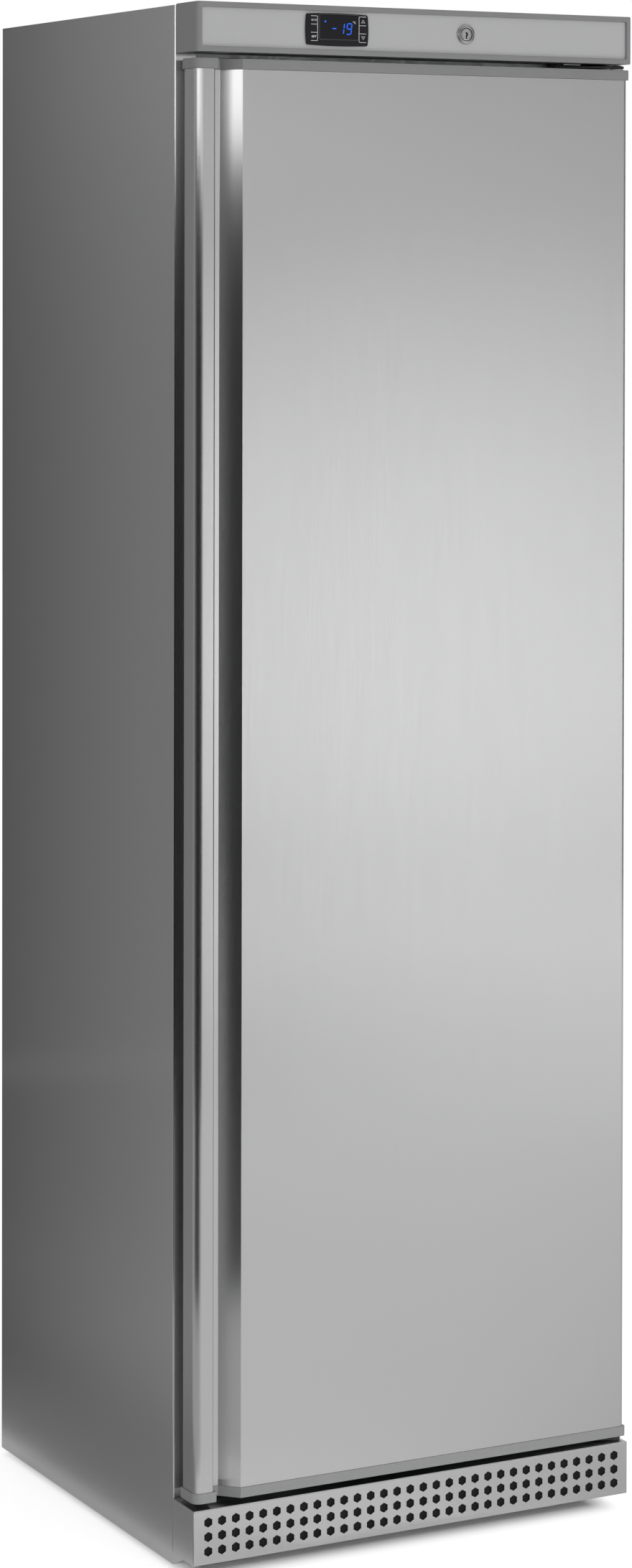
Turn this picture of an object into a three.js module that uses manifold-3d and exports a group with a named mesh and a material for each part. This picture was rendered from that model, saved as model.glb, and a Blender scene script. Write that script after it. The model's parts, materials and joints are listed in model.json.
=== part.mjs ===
// Upright storage freezer with one full-height hinged door, in millimetres, +Z up.
// The door faces -Y and is hinged on the right (+X). The origin lies on the floor, under the middle
// of the cabinet.
import * as THREE from "three";
import { mergeVertices } from "three/addons/utils/BufferGeometryUtils.js";
import Module from "manifold-3d";

const wasm = await Module();
wasm.setup();

// ---------------------------------------------------------------- driving dimensions

const WIDTH = 600; // across the side panels
const DEPTH = 579; // fascia front to back panel
const HEIGHT = 1860; // floor to fascia top

const GAP = 0.3; // between pieces that touch
const SHEET = 1; // folded steel panels
const LINER = 1.5; // moulded inner liners

const FLOOR_CLEARANCE = 8; // under the side panels
const PANEL_DROP = 1.5; // the side panels end this far under the fascia top
const FRONT_FLANGE = 28; // the side panels' return at the front
const REAR_FLANGE = 15;

const SIDE_WALL = 60; // outer panel to cavity
const BACK_WALL = 67;
const FLOOR_WALL = 58;
const CAVITY_TOP_DROP = 49; // door top to cavity ceiling
const UNDERSIDE_RISE = 12; // kick grille top to the cabinet's underside
const BOTTOM_RAIL = 32; // height of the underside panel's front flange
const TOP_RAIL_DROP = 4; // the top panel's front flange reaches this far under the fascia

const BAY_DEPTH = 209; // machine bay, open at the back
const BAY_TOP = 330;

const SHELF_COUNT = 5;
const SHELF_THICKNESS = 3;
const SHELF_FRONT_INSET = 30; // cabinet front to shelf front
const SHELF_BACK_INSET = 26;
const SHELF_BAR = 4;
const SHELF_SLOTS = 8;
const SHELF_SIDE_CLEARANCE = 2;
const LEDGE = 8; // moulded ledges that carry the shelves
const LEDGE_HEIGHT = 12;
const COIL_RADIUS = 4; // evaporator tube
const COIL_PASSES = 6;
const COIL_DROP = 5; // shelf underside to tube centre
const COIL_SIDE_INSET = 45;

const DOOR_SETBACK = 5; // door front behind the fascia front
const DOOR_DEPTH = 37; // end caps, front to back
const SEAL_DEPTH = 16; // door back to cabinet front
const DOOR_TOP_GAP = 7; // door to fascia
const DOOR_BOTTOM_GAP = 6.2; // door to kick grille
const CAP_HEIGHT = 12.4;
const CAP_LEFT_INSET = 2.5; // handle side of the caps, from the cabinet's side
const SKIN_RIGHT_INSET = 3; // door skin inside its caps
const SKIN_FRONT_INSET = 0.8;
const SKIN_RADIUS = 6;
const CAP_RADIUS = 5;
const PLUG_DEPTH = 30; // raised inner door panel
const PLUG_CLEARANCE = 12; // to the cavity's sides

const HANDLE_WIDTH = 24.7;
const HANDLE_WALL = 1.2;
const HANDLE_RADIUS = 9;
const HANDLE_EDGE_RADIUS = 3;
const HANDLE_INSET = 1.5; // handle inside its caps, on the outer side
const HANDLE_CAP_OVERHANG = 3.3; // caps past the handle, on the channel side
const CHANNEL_DEPTH = 21; // finger channel beside the handle
const CHANNEL_FLOOR = 14.8; // its flat floor, from the handle to the chamfer
const CHAMFER_WIDTH = 20.3;

const GASKET_WIDTH = 16;
const GASKET_FOOT = 10;
const GASKET_FOOT_DEPTH = 6;
const GASKET_OVERLAP = 6; // gasket's inner edge, from the cavity's edge
const GASKET_CLEARANCE = 0.8;

const HINGE_INSET = 12; // pin centre, from the cabinet's right side and from the door front
const PIN_RADIUS = 4;
const PIN_HEAD_RADIUS = 6;
const PIN_HEAD = 0.6;
const BUSH_RADIUS = 7;
const BUSH_FLANGE_RADIUS = 8.5;
const BUSH_FLANGE = 1.4;
const RUNNING_CLEARANCE = 0.3;
const BRACKET_THICKNESS = 3;
const BRACKET_WIDTH = 70;
const BRACKET_FLANGE = 32;
const BRACKET_NOSE = 9;
const BRACKET_DOOR_GAP = 2;

const FASCIA_HEIGHT = 58.8;
const FASCIA_SIDE_INSET = 1.5;
const FASCIA_WALL = 2.5;
const FASCIA_LIP = 3; // how deep the insert lies
const FASCIA_BORDER = 6.5;
const FASCIA_RADIUS = 5;
const INSERT_THICKNESS = 2;
const INSERT_MARGIN = 3; // hidden behind the lip

const CONTROLS_RISE = 0.9; // the controller and lock sit this far above the fascia's middle
const CONTROLLER_X = -113.2;
const CONTROLLER_WIDTH = 82;
const CONTROLLER_HEIGHT = 37.6;
const CONTROLLER_BULGE = 1.2; // the bezel's edges bow out
const CONTROLLER_BODY_INSET = 3;
const CONTROLLER_BODY_DEPTH = 44;
const WINDOW_WIDTH = 51;
const WINDOW_HEIGHT = 28.6;
const WINDOW_CENTRE = [2.2, 3.2]; // from the bezel's centre
const WINDOW_THICKNESS = 0.9;
const BUTTON_WIDTH = 8.6;
const BUTTON_HEIGHT = 8.8;
const BUTTON_THICKNESS = 1.4;
const BUTTON_TRAVEL = 0.8;
const BUTTON_CENTRES = {
  button_defrost: [-31.5, 10.9],
  button_set: [-31.5, -8.9],
  button_up: [34.6, 10.9],
  button_down: [34.6, -8.9],
};

const LOCK_X = 63.9;
const LOCK_FLANGE_RADIUS = 12;
const LOCK_FACE_RADIUS = 9.8;
const LOCK_BARREL_RADIUS = 9;
const LOCK_PLUG_RADIUS = 7.8;
const LOCK_LENGTH = 27;
const LOCK_PLUG_RECESS = 0.5;
const KEYHOLE_RADIUS = 2.6;
const KEYHOLE_SLOT = [1.8, 5.6]; // width, reach below the centre
const KEYHOLE_DEPTH = 9;
const CAM_BITE = 9.7; // how far the turned cam reaches into the door's top cap
const CAM_WIDTH = 12;
const CAM_THICKNESS = 3;
const CAM_SLOT_CLEARANCE = 2;
const CAM_TAIL = 6; // square tail of the plug

const GRILLE_SETBACK = 2; // kick grille front behind the fascia front
const GRILLE_SHEET = 1.2;
const GRILLE_TOP = 86.1;
const GRILLE_BOTTOM = 21.4;
const GRILLE_TOP_RETURN = 51;
const GRILLE_TAB = 28; // the side returns' front part, above the floor tab
const HOLE_ROWS = 3;
const HOLE_FLATS = 10.4;
const HOLE_PITCH = [18.1, 17.2];
const HOLE_MARGIN = 19.2; // least distance from a hole's centre to the grille's end

const BASE_SHEET = 1.5;
const BASE_BOTTOM = 16.5;
const BASE_SIDE_HEIGHT = 42;
const BASE_WINDOW_INSET = 85; // air window in the base's front flange
const BASE_WINDOW_RIMS = [4, 8]; // left under and over the window
const FOOT_INSET = [45, 45]; // foot centre from the cabinet's side and front
const FOOT_PAD_RADIUS = 18;
const FOOT_PAD = 5;
const FOOT_BODY_RADIUS = 12;
const STEM_RADIUS = 5;
const STEM_LENGTH = 34;
const WELD_NUT = [17, 8]; // across flats, height
const ROLLER_INSET = [48, 52]; // roller centre from the cabinet's side and back
const ROLLER_RADIUS = 20;
const ROLLER_WIDTH = 18;
const AXLE_RADIUS = 4;
const AXLE_HEAD = [6, 2]; // radius, thickness
const FORK_SHEET = 2;
const FORK_CLEARANCE = 2.5; // beside the roller
const FORK_TAB = 12;
const FORK_DROP = 12; // its cheeks reach this far under the axle

const COMPRESSOR = { sideInset: 174, depth: 150, width: 200, height: 172, dome: 36 };
const COMPRESSOR_FOOT = 3;
const FOOT_PLATE_MARGIN = [4, -5]; // past the can's ends and sides
const TERMINAL_COVER = { thickness: 28, width: 60, height: 64 };
const GROMMET = { radius: 10, waist: 7, height: 13, nose: 1, spread: [85, 55] };
const CONDENSER = { sideInset: 32, frontInset: 24, gap: 13, depth: 44, height: 200, fins: 17, fin: 3 };
const FIN_EDGE = 8; // the fins stand this far past the block between them
const HAIRPINS = { count: 4, inset: 30 };
const SHROUD_SHEET = 1.5;
const FAN = { margin: 14, hub: 20, depth: 22, blades: 5, chord: 46, pitch: 28, gap: 6, tip: 4, root: 4 };
const BLADE_SHEET = 2;
const MOTOR = { radius: 33, length: 42, arm: 8, strap: 2, inset: 4 };
const PIPE_RADIUS = 3.2;
const PIPE_BEND = 12;
const PIPE_RISE = { discharge: 34, suction: 30 }; // over the compressor's stubs
const SUCTION_OFFSET = 60; // to its own way up through the bay's roof

// ---------------------------------------------------------------- derived positions

const HALF = WIDTH / 2;
const FRONT = -DEPTH / 2;
const BACK = DEPTH / 2;
const FASCIA_BOTTOM = HEIGHT - FASCIA_HEIGHT;
const CONTROLS_Z = FASCIA_HEIGHT / 2 + CONTROLS_RISE; // above the fascia's underside
const CAM_LENGTH = CONTROLS_Z + DOOR_TOP_GAP + CAM_BITE;
const FASCIA_DEPTH = DOOR_SETBACK + DOOR_DEPTH + SEAL_DEPTH;
const CABINET_FRONT = FRONT + FASCIA_DEPTH;
const PANEL_TOP = HEIGHT - PANEL_DROP;
const UNDER_TOP_PANEL = PANEL_TOP - SHEET - GAP;
const INSIDE_HALF = HALF - SHEET - GAP; // pieces that fit between the side panels
const RAIL_HALF = HALF - FRONT_FLANGE - GAP; // pieces that fit between their front flanges
const DOOR_FRONT = FRONT + DOOR_SETBACK;
const DOOR_TOP = FASCIA_BOTTOM - DOOR_TOP_GAP;
const DOOR_BOTTOM = GRILLE_TOP + DOOR_BOTTOM_GAP;
const DOOR_HEIGHT = DOOR_TOP - DOOR_BOTTOM;

const CAVITY_HALF = HALF - SIDE_WALL;
const CAVITY_BACK = BACK - BACK_WALL;
const CAVITY_TOP = DOOR_TOP - CAVITY_TOP_DROP;
const UNDERSIDE = GRILLE_TOP + UNDERSIDE_RISE;
const CAVITY_FLOOR = UNDERSIDE + FLOOR_WALL;
const BAY_FRONT = BACK - BAY_DEPTH;
const BAY_MIDDLE = (BAY_FRONT + BACK) / 2;
const STEP_FRONT = BAY_FRONT - SIDE_WALL; // the cavity floor steps up over the bay
const STEP_TOP = BAY_TOP + SIDE_WALL;
const BASE_TOP = BASE_BOTTOM + BASE_SHEET;

const HINGE_X = HALF - HINGE_INSET;
const HINGE_Y = DOOR_FRONT + HINGE_INSET;

// ---------------------------------------------------------------- geometry helpers

const X = new THREE.Vector3(1, 0, 0);
const Y = new THREE.Vector3(0, 1, 0);
const Z = new THREE.Vector3(0, 0, 1);

// Merges what a boolean needs: positions only, shared vertices.
function solidOf(geometry) {
  const bare = geometry.clone();
  bare.deleteAttribute("normal");
  bare.deleteAttribute("uv");
  const merged = mergeVertices(bare, 1e-4);
  const vertProperties = merged.attributes.position.array;
  const triVerts = new Uint32Array(merged.index.array);
  return new wasm.Manifold(new wasm.Mesh({ numProp: 3, vertProperties, triVerts }));
}

function geometryOf(solid) {
  const mesh = solid.getMesh();
  const geometry = new THREE.BufferGeometry();
  geometry.setAttribute("position", new THREE.BufferAttribute(mesh.vertProperties, mesh.numProp));
  geometry.setIndex(new THREE.BufferAttribute(mesh.triVerts, 1));
  geometry.computeVertexNormals();
  return geometry;
}

function join(...pieces) {
  return geometryOf(pieces.map(solidOf).reduce((a, b) => a.add(b)));
}

function cut(body, ...tools) {
  return geometryOf(tools.map(solidOf).reduce((a, b) => a.subtract(b), solidOf(body)));
}

function block([x0, x1], [y0, y1], [z0, z1]) {
  const geometry = new THREE.BoxGeometry(x1 - x0, y1 - y0, z1 - z0);
  return geometry.translate((x0 + x1) / 2, (y0 + y1) / 2, (z0 + z1) / 2);
}

const both = (half) => [-half, half];
const mirrored = (side, near, far) => (side < 0 ? [-far, -near] : [near, far]);

// A shape drawn in (x, y), (y, z) or (x, z) and extruded along the axis that is left.
function extrudeZ(shape, [from, to], curveSegments = 4) {
  const options = { depth: to - from, bevelEnabled: false, curveSegments };
  return new THREE.ExtrudeGeometry(shape, options).translate(0, 0, from);
}

function extrudeX(shape, range, curveSegments) {
  return extrudeZ(shape, range, curveSegments).applyMatrix4(new THREE.Matrix4().makeBasis(Y, Z, X));
}

function extrudeY(shape, [from, to], curveSegments) {
  const down = Y.clone().negate();
  const upright = new THREE.Matrix4().makeBasis(X, Z, down);
  return extrudeZ(shape, [-to, -from], curveSegments).applyMatrix4(upright);
}

function polygon(points) {
  return new THREE.Shape(points.map(([u, v]) => new THREE.Vector2(u, v)));
}

function regular(radius, sides, [cu, cv] = [0, 0], turn = 0) {
  const points = [];
  for (let i = 0; i < sides; i++) {
    const angle = turn + (i * 2 * Math.PI) / sides;
    points.push([cu + radius * Math.cos(angle), cv + radius * Math.sin(angle)]);
  }
  return polygon(points);
}

const acrossFlats = (flats) => flats / Math.sqrt(3);

function ring(outer, inner, sides) {
  const shape = regular(outer, sides);
  shape.holes.push(regular(inner, sides));
  return shape;
}

function roundedRectangle([u0, u1], [v0, v1], radius) {
  const shape = new THREE.Shape();
  shape.absarc(u1 - radius, v0 + radius, radius, -Math.PI / 2, 0);
  shape.absarc(u1 - radius, v1 - radius, radius, 0, Math.PI / 2);
  shape.absarc(u0 + radius, v1 - radius, radius, Math.PI / 2, Math.PI);
  shape.absarc(u0 + radius, v0 + radius, radius, Math.PI, 1.5 * Math.PI);
  return shape;
}

// A closed (radius, height) profile, drawn anticlockwise, turned round Y or Z.
function latheY(profile, sides) {
  return new THREE.LatheGeometry(profile.map(([r, y]) => new THREE.Vector2(r, y)), sides);
}

const latheZ = (profile, sides) => latheY(profile, sides).rotateX(Math.PI / 2);

const BEND_SLACK = 0.01; // keeps two bends that meet from sharing a point

// A line through corner points, with each corner bent to a radius.
class BentPath extends THREE.Curve {
  constructor(corners, bend, steps = 3) {
    super();
    this.points = [new THREE.Vector3(...corners[0])];
    for (let i = 1; i < corners.length - 1; i++) {
      const [before, at, after] = [i - 1, i, i + 1].map((k) => new THREE.Vector3(...corners[k]));
      const back = before.clone().sub(at);
      const ahead = after.clone().sub(at);
      const reach = bend / Math.tan(back.angleTo(ahead) / 2);
      const start = at.clone().addScaledVector(back.normalize(), reach);
      const end = at.clone().addScaledVector(ahead.normalize(), reach);
      for (let k = 0; k <= steps; k++) {
        this.points.push(this.onArc(start, at, end, bend, k / steps));
      }
    }
    this.points.push(new THREE.Vector3(...corners.at(-1)));
  }

  onArc(start, corner, end, bend, share) {
    const middle = start.clone().add(end).multiplyScalar(0.5);
    const outward = corner.clone().sub(middle).normalize();
    const half = start.distanceTo(end) / 2;
    const centre = middle.clone().addScaledVector(outward, -Math.sqrt(bend * bend - half * half));
    const sweep = 2 * Math.asin(half / bend);
    const along = end.clone().sub(start).normalize();
    const angle = (share - 0.5) * sweep;
    return centre
      .addScaledVector(outward, bend * Math.cos(angle))
      .addScaledVector(along, bend * Math.sin(angle));
  }

  getPointAt(share) {
    return this.points[Math.round(share * (this.points.length - 1))].clone();
  }

  getTangentAt(share) {
    const last = this.points.length - 1;
    const i = Math.round(share * last);
    return this.points[Math.min(i + 1, last)]
      .clone()
      .sub(this.points[Math.max(i - 1, 0)])
      .normalize();
  }
}

// A round tube along such a line.
function tube(corners, radius, bend, { sides = 8, steps = 3 } = {}) {
  const extrudePath = new BentPath(corners, bend, steps);
  const options = { extrudePath, steps: extrudePath.points.length - 1, bevelEnabled: false };
  return new THREE.ExtrudeGeometry(regular(radius, sides), options);
}

// ---------------------------------------------------------------- materials and scene

const FINISHES = {
  steel: { color: 0xb9babb, roughness: 0.34, metalness: 0.9 },
  galvanised: { color: 0xa9adae, roughness: 0.5, metalness: 0.8 },
  greyPlastic: { color: 0x808182, roughness: 0.5, metalness: 0 },
  paleInsert: { color: 0xb4b5b6, roughness: 0.45, metalness: 0.2 },
  whitePlastic: { color: 0xe9eae8, roughness: 0.4, metalness: 0 },
  foam: { color: 0xe8dfae, roughness: 0.9, metalness: 0 },
  blackPlastic: { color: 0x1a1b1c, roughness: 0.45, metalness: 0 },
  lens: { color: 0x0c0d10, roughness: 0.15, metalness: 0 },
  rubber: { color: 0x2a2a2b, roughness: 0.8, metalness: 0 },
  seal: { color: 0x9c9d9e, roughness: 0.7, metalness: 0 },
  chrome: { color: 0xc9cacb, roughness: 0.2, metalness: 1 },
  enamel: { color: 0xdfe1e2, roughness: 0.4, metalness: 0.1 },
  blackPaint: { color: 0x17181a, roughness: 0.4, metalness: 0.2 },
  aluminium: { color: 0xb8bcbf, roughness: 0.4, metalness: 0.9 },
  copper: { color: 0xb06a3c, roughness: 0.35, metalness: 1 },
  nylon: { color: 0xe6e6e2, roughness: 0.5, metalness: 0 },
};

function place(group, name, geometry, finish, position = [0, 0, 0]) {
  const mesh = new THREE.Mesh(geometry, new THREE.MeshStandardMaterial(FINISHES[finish]));
  mesh.name = name;
  mesh.position.set(...position);
  group.add(mesh);
  return mesh;
}

function groupAt(parent, x, y, z) {
  const group = new THREE.Group();
  group.position.set(x, y, z);
  parent.add(group);
  return group;
}

const freezer = new THREE.Group();

// ---------------------------------------------------------------- cabinet shell

function sidePanel(side) {
  const outer = side * HALF;
  const inner = side * (HALF - SHEET);
  const section = polygon([
    [outer, CABINET_FRONT],
    [side * (HALF - FRONT_FLANGE), CABINET_FRONT],
    [side * (HALF - FRONT_FLANGE), CABINET_FRONT + SHEET],
    [inner, CABINET_FRONT + SHEET],
    [inner, BACK - SHEET],
    [side * (HALF - REAR_FLANGE), BACK - SHEET],
    [side * (HALF - REAR_FLANGE), BACK],
    [outer, BACK],
  ]);
  const underTop = block(
    mirrored(side, HALF - FRONT_FLANGE - SHEET, HALF - SHEET),
    [CABINET_FRONT - SHEET, BACK + SHEET],
    [UNDER_TOP_PANEL, PANEL_TOP + SHEET],
  );
  return cut(extrudeZ(section, [FLOOR_CLEARANCE, PANEL_TOP]), underTop);
}

function frontRail(zRange) {
  return block(both(RAIL_HALF), [CABINET_FRONT, CABINET_FRONT + SHEET], zRange);
}

function topPanel() {
  const sheet = block(both(INSIDE_HALF), [CABINET_FRONT, BACK], [PANEL_TOP - SHEET, PANEL_TOP]);
  return join(sheet, frontRail([FASCIA_BOTTOM - TOP_RAIL_DROP, PANEL_TOP]));
}

function backPanel() {
  const half = HALF - REAR_FLANGE - GAP;
  return block(both(half), [BACK - SHEET, BACK], [BAY_TOP + SHEET + GAP, UNDER_TOP_PANEL]);
}

// One folded sheet: front rail, cabinet underside, front wall and roof of the machine bay.
function machineBayPanel() {
  const start = CABINET_FRONT + SHEET + GAP;
  const under = [UNDERSIDE - SHEET, UNDERSIDE];
  return join(
    frontRail([UNDERSIDE - SHEET, UNDERSIDE + BOTTOM_RAIL]),
    block(both(RAIL_HALF), [CABINET_FRONT, start + SHEET], under),
    block(both(INSIDE_HALF), [start, BAY_FRONT], under),
    block(both(INSIDE_HALF), [BAY_FRONT - SHEET, BAY_FRONT], [UNDERSIDE - SHEET, BAY_TOP + SHEET]),
    block(both(INSIDE_HALF), [BAY_FRONT - SHEET, BACK - SHEET - GAP], [BAY_TOP, BAY_TOP + SHEET]),
  );
}

// The cavity seen from the side, grown outwards by an offset, from a given front plane.
function cavityProfile(offset, front) {
  return polygon([
    [front, CAVITY_FLOOR - offset],
    [STEP_FRONT + offset, CAVITY_FLOOR - offset],
    [STEP_FRONT + offset, STEP_TOP - offset],
    [CAVITY_BACK + offset, STEP_TOP - offset],
    [CAVITY_BACK + offset, CAVITY_TOP + offset],
    [front, CAVITY_TOP + offset],
  ]);
}

function cavity(offset, front) {
  return extrudeX(cavityProfile(offset, front), both(CAVITY_HALF + offset));
}

function cabinetFoam() {
  const outside = block(
    both(INSIDE_HALF),
    [CABINET_FRONT + LINER + GAP, BACK - SHEET - GAP],
    [UNDERSIDE + GAP, UNDER_TOP_PANEL],
  );
  const bay = block(both(HALF), [BAY_FRONT - SHEET - GAP, BACK], [0, BAY_TOP + SHEET + GAP]);
  return cut(outside, cavity(LINER + GAP, CABINET_FRONT), bay);
}

const SHELF_PITCH = (CAVITY_TOP - STEP_TOP - 2 * LEDGE_HEIGHT) / SHELF_COUNT;
const shelfZ = (i) => STEP_TOP + LEDGE_HEIGHT + GAP + i * SHELF_PITCH;
const SHELF_FRONT = CABINET_FRONT + SHELF_FRONT_INSET;
const SHELF_BACK = CAVITY_BACK - SHELF_BACK_INSET;

function ledge(side, top) {
  const across = mirrored(side, CAVITY_HALF - LEDGE, CAVITY_HALF + LINER / 2);
  return block(across, [SHELF_FRONT, SHELF_BACK], [top - LEDGE_HEIGHT, top]);
}

function innerLiner() {
  const opening = cavity(0, CABINET_FRONT - SHEET);
  const shell = cut(cavity(LINER, CABINET_FRONT), opening);
  const flange = cut(
    block(
      both(RAIL_HALF),
      [CABINET_FRONT, CABINET_FRONT + LINER],
      [UNDERSIDE + BOTTOM_RAIL + GAP, FASCIA_BOTTOM - TOP_RAIL_DROP - GAP],
    ),
    opening,
  );
  const ledges = [];
  for (let i = 0; i < SHELF_COUNT; i++) {
    ledges.push(ledge(-1, shelfZ(i) - GAP), ledge(1, shelfZ(i) - GAP));
  }
  return join(shell, flange, ...ledges);
}

function buildCabinet(parent) {
  place(parent, "side_panel_left", sidePanel(-1), "steel");
  place(parent, "side_panel_right", sidePanel(1), "steel");
  place(parent, "top_panel", topPanel(), "galvanised");
  place(parent, "back_panel", backPanel(), "galvanised");
  place(parent, "machine_bay_panel", machineBayPanel(), "galvanised");
  place(parent, "cabinet_foam", cabinetFoam(), "foam");
  place(parent, "inner_liner", innerLiner(), "whitePlastic");
}

// ---------------------------------------------------------------- evaporator shelves

// A refrigerant tube in hairpins, tabbed under a barred shelf. Its origin is at the height of the
// shelf's underside.
function evaporatorShelf() {
  const half = CAVITY_HALF - SHELF_SIDE_CLEARANCE;
  const slot = (SHELF_BACK - SHELF_FRONT - SHELF_BAR) / SHELF_SLOTS;
  const slots = [];
  for (let i = 0; i < SHELF_SLOTS; i++) {
    const near = SHELF_FRONT + SHELF_BAR + i * slot;
    slots.push(block(both(half - SHELF_BAR), [near, near + slot - SHELF_BAR], [-1, SHELF_THICKNESS + 1]));
  }
  const frame = cut(block(both(half), [SHELF_FRONT, SHELF_BACK], [0, SHELF_THICKNESS]), ...slots);
  const reach = CAVITY_HALF - COIL_SIDE_INSET;
  const pitch = (2 * reach) / (COIL_PASSES - 1);
  const corners = [];
  const tabs = [];
  for (let i = 0; i < COIL_PASSES; i++) {
    const x = -reach + i * pitch;
    const ends = [SHELF_BACK - COIL_RADIUS, SHELF_FRONT + COIL_RADIUS];
    if (i === 0) ends[0] = CAVITY_BACK - GAP;
    if (i % 2) ends.reverse();
    if (i === COIL_PASSES - 1) ends[1] = CAVITY_BACK - GAP;
    ends.forEach((y) => corners.push([x, y, -COIL_DROP]));
    const tabY = SHELF_FRONT + SHELF_BAR / 2 + slot * (i % 2 ? 2 : SHELF_SLOTS - 2);
    const wide = SHELF_BAR / 4;
    tabs.push(block([x - wide, x + wide], [tabY - wide, tabY + wide], [-COIL_DROP, SHELF_THICKNESS / 2]));
  }
  const coil = tube(corners, COIL_RADIUS, pitch / 2 - BEND_SLACK, { sides: 6, steps: 2 });
  return join(frame, coil, ...tabs);
}

function buildShelves(parent) {
  const geometry = evaporatorShelf();
  for (let i = 0; i < SHELF_COUNT; i++) {
    place(parent, `evaporator_shelf_${i + 1}`, geometry, "enamel", [0, 0, shelfZ(i)]);
  }
}

// ---------------------------------------------------------------- base, kick grille, feet and rollers

const FOOT = [HALF - FOOT_INSET[0], CABINET_FRONT + FOOT_INSET[1]];
const ROLLER = [HALF - ROLLER_INSET[0], BACK - ROLLER_INSET[1]];
const FORK_HALF = ROLLER_WIDTH / 2 + FORK_CLEARANCE; // inside half width
const FORK_REACH = ROLLER_RADIUS + FORK_SHEET; // half length along Y
const AXLE_HALF = FORK_HALF + FORK_SHEET + GAP; // to the inside of its heads

function basePlate() {
  const front = CABINET_FRONT + SHEET + GAP;
  const back = BACK - SHEET - GAP;
  const glandTab = block(
    [GLAND.x - GLAND.tab, GLAND.x + GLAND.tab],
    [GLAND.y, GLAND.y + BASE_SHEET],
    [BASE_BOTTOM, GLAND.z + GLAND.tab],
  );
  const pieces = [
    block(both(INSIDE_HALF), [front, back], [BASE_BOTTOM, BASE_TOP]),
    block(both(INSIDE_HALF), [front, front + BASE_SHEET], [BASE_BOTTOM, GRILLE_TOP]),
    glandTab,
  ];
  const airWindow = block(
    both(HALF - BASE_WINDOW_INSET),
    [front - 1, front + BASE_SHEET + 1],
    [BASE_TOP + BASE_WINDOW_RIMS[0], GRILLE_TOP - BASE_WINDOW_RIMS[1]],
  );
  const glandHole = regular(GLAND.radius + RUNNING_CLEARANCE, 16, [GLAND.x, GLAND.z]);
  const holes = [airWindow, extrudeY(glandHole, [GLAND.y - 1, GLAND.y + BASE_SHEET + 1])];
  for (const side of [-1, 1]) {
    const foot = [side * FOOT[0], FOOT[1]];
    const wheel = [side * ROLLER[0], ROLLER[1]];
    const wall = mirrored(side, INSIDE_HALF - BASE_SHEET, INSIDE_HALF);
    const nut = regular(acrossFlats(WELD_NUT[0]), 6, foot);
    const windowHalf = AXLE_HALF + AXLE_HEAD[1] + GAP;
    pieces.push(block(wall, [front, back], [BASE_BOTTOM, BASE_BOTTOM + BASE_SIDE_HEIGHT]));
    pieces.push(extrudeZ(nut, [BASE_TOP - BASE_SHEET / 2, BASE_TOP + WELD_NUT[1]]));
    const bore = regular(STEM_RADIUS + RUNNING_CLEARANCE, 16, foot);
    holes.push(extrudeZ(bore, [0, BASE_TOP + WELD_NUT[1] + 1]));
    holes.push(
      block(
        [wheel[0] - windowHalf, wheel[0] + windowHalf],
        [wheel[1] - FORK_REACH - 1, wheel[1] + FORK_REACH + 1],
        [BASE_BOTTOM - 1, BASE_TOP + 1],
      ),
    );
  }
  return cut(join(...pieces), ...holes);
}

const HOLE_COLUMNS = Math.floor((WIDTH - 2 * HOLE_MARGIN) / HOLE_PITCH[0]) + 1;

function hexHole(column, row) {
  const u = (column - (HOLE_COLUMNS - 1) / 2) * HOLE_PITCH[0];
  const v = (GRILLE_BOTTOM + GRILLE_TOP) / 2 + (row - (HOLE_ROWS - 1) / 2) * HOLE_PITCH[1];
  return regular(acrossFlats(HOLE_FLATS), 6, [u, v], Math.PI / 6);
}

function kickGrille() {
  const front = FRONT + GRILLE_SETBACK;
  const back = CABINET_FRONT - GAP;
  const face = polygon([
    [-HALF, GRILLE_BOTTOM],
    [HALF, GRILLE_BOTTOM],
    [HALF, GRILLE_TOP],
    [-HALF, GRILLE_TOP],
  ]);
  for (let row = 0; row < HOLE_ROWS; row++) {
    for (let column = 0; column < HOLE_COLUMNS; column++) {
      face.holes.push(hexHole(column, row));
    }
  }
  const cheek = polygon([
    [front, GRILLE_BOTTOM],
    [front + GRILLE_TAB, GRILLE_BOTTOM],
    [back, FLOOR_CLEARANCE],
    [back, GRILLE_TOP],
    [front, GRILLE_TOP],
  ]);
  return join(
    extrudeY(face, [front, front + GRILLE_SHEET]),
    block(both(HALF), [front, front + GRILLE_TOP_RETURN], [GRILLE_TOP - GRILLE_SHEET, GRILLE_TOP]),
    extrudeX(cheek, [-HALF, -HALF + GRILLE_SHEET]),
    extrudeX(cheek, [HALF - GRILLE_SHEET, HALF]),
  );
}

// Pad, hexagonal body and threaded stem in one moulding. Its origin is on the floor, on the stem's axis.
function levellingFoot() {
  const bodyTop = BASE_BOTTOM - GAP;
  return join(
    extrudeZ(regular(FOOT_PAD_RADIUS, 24), [0, FOOT_PAD]),
    extrudeZ(regular(FOOT_BODY_RADIUS, 6), [FOOT_PAD / 2, bodyTop]),
    extrudeZ(regular(STEM_RADIUS, 16), [bodyTop - 1, bodyTop + STEM_LENGTH]),
  );
}

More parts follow.
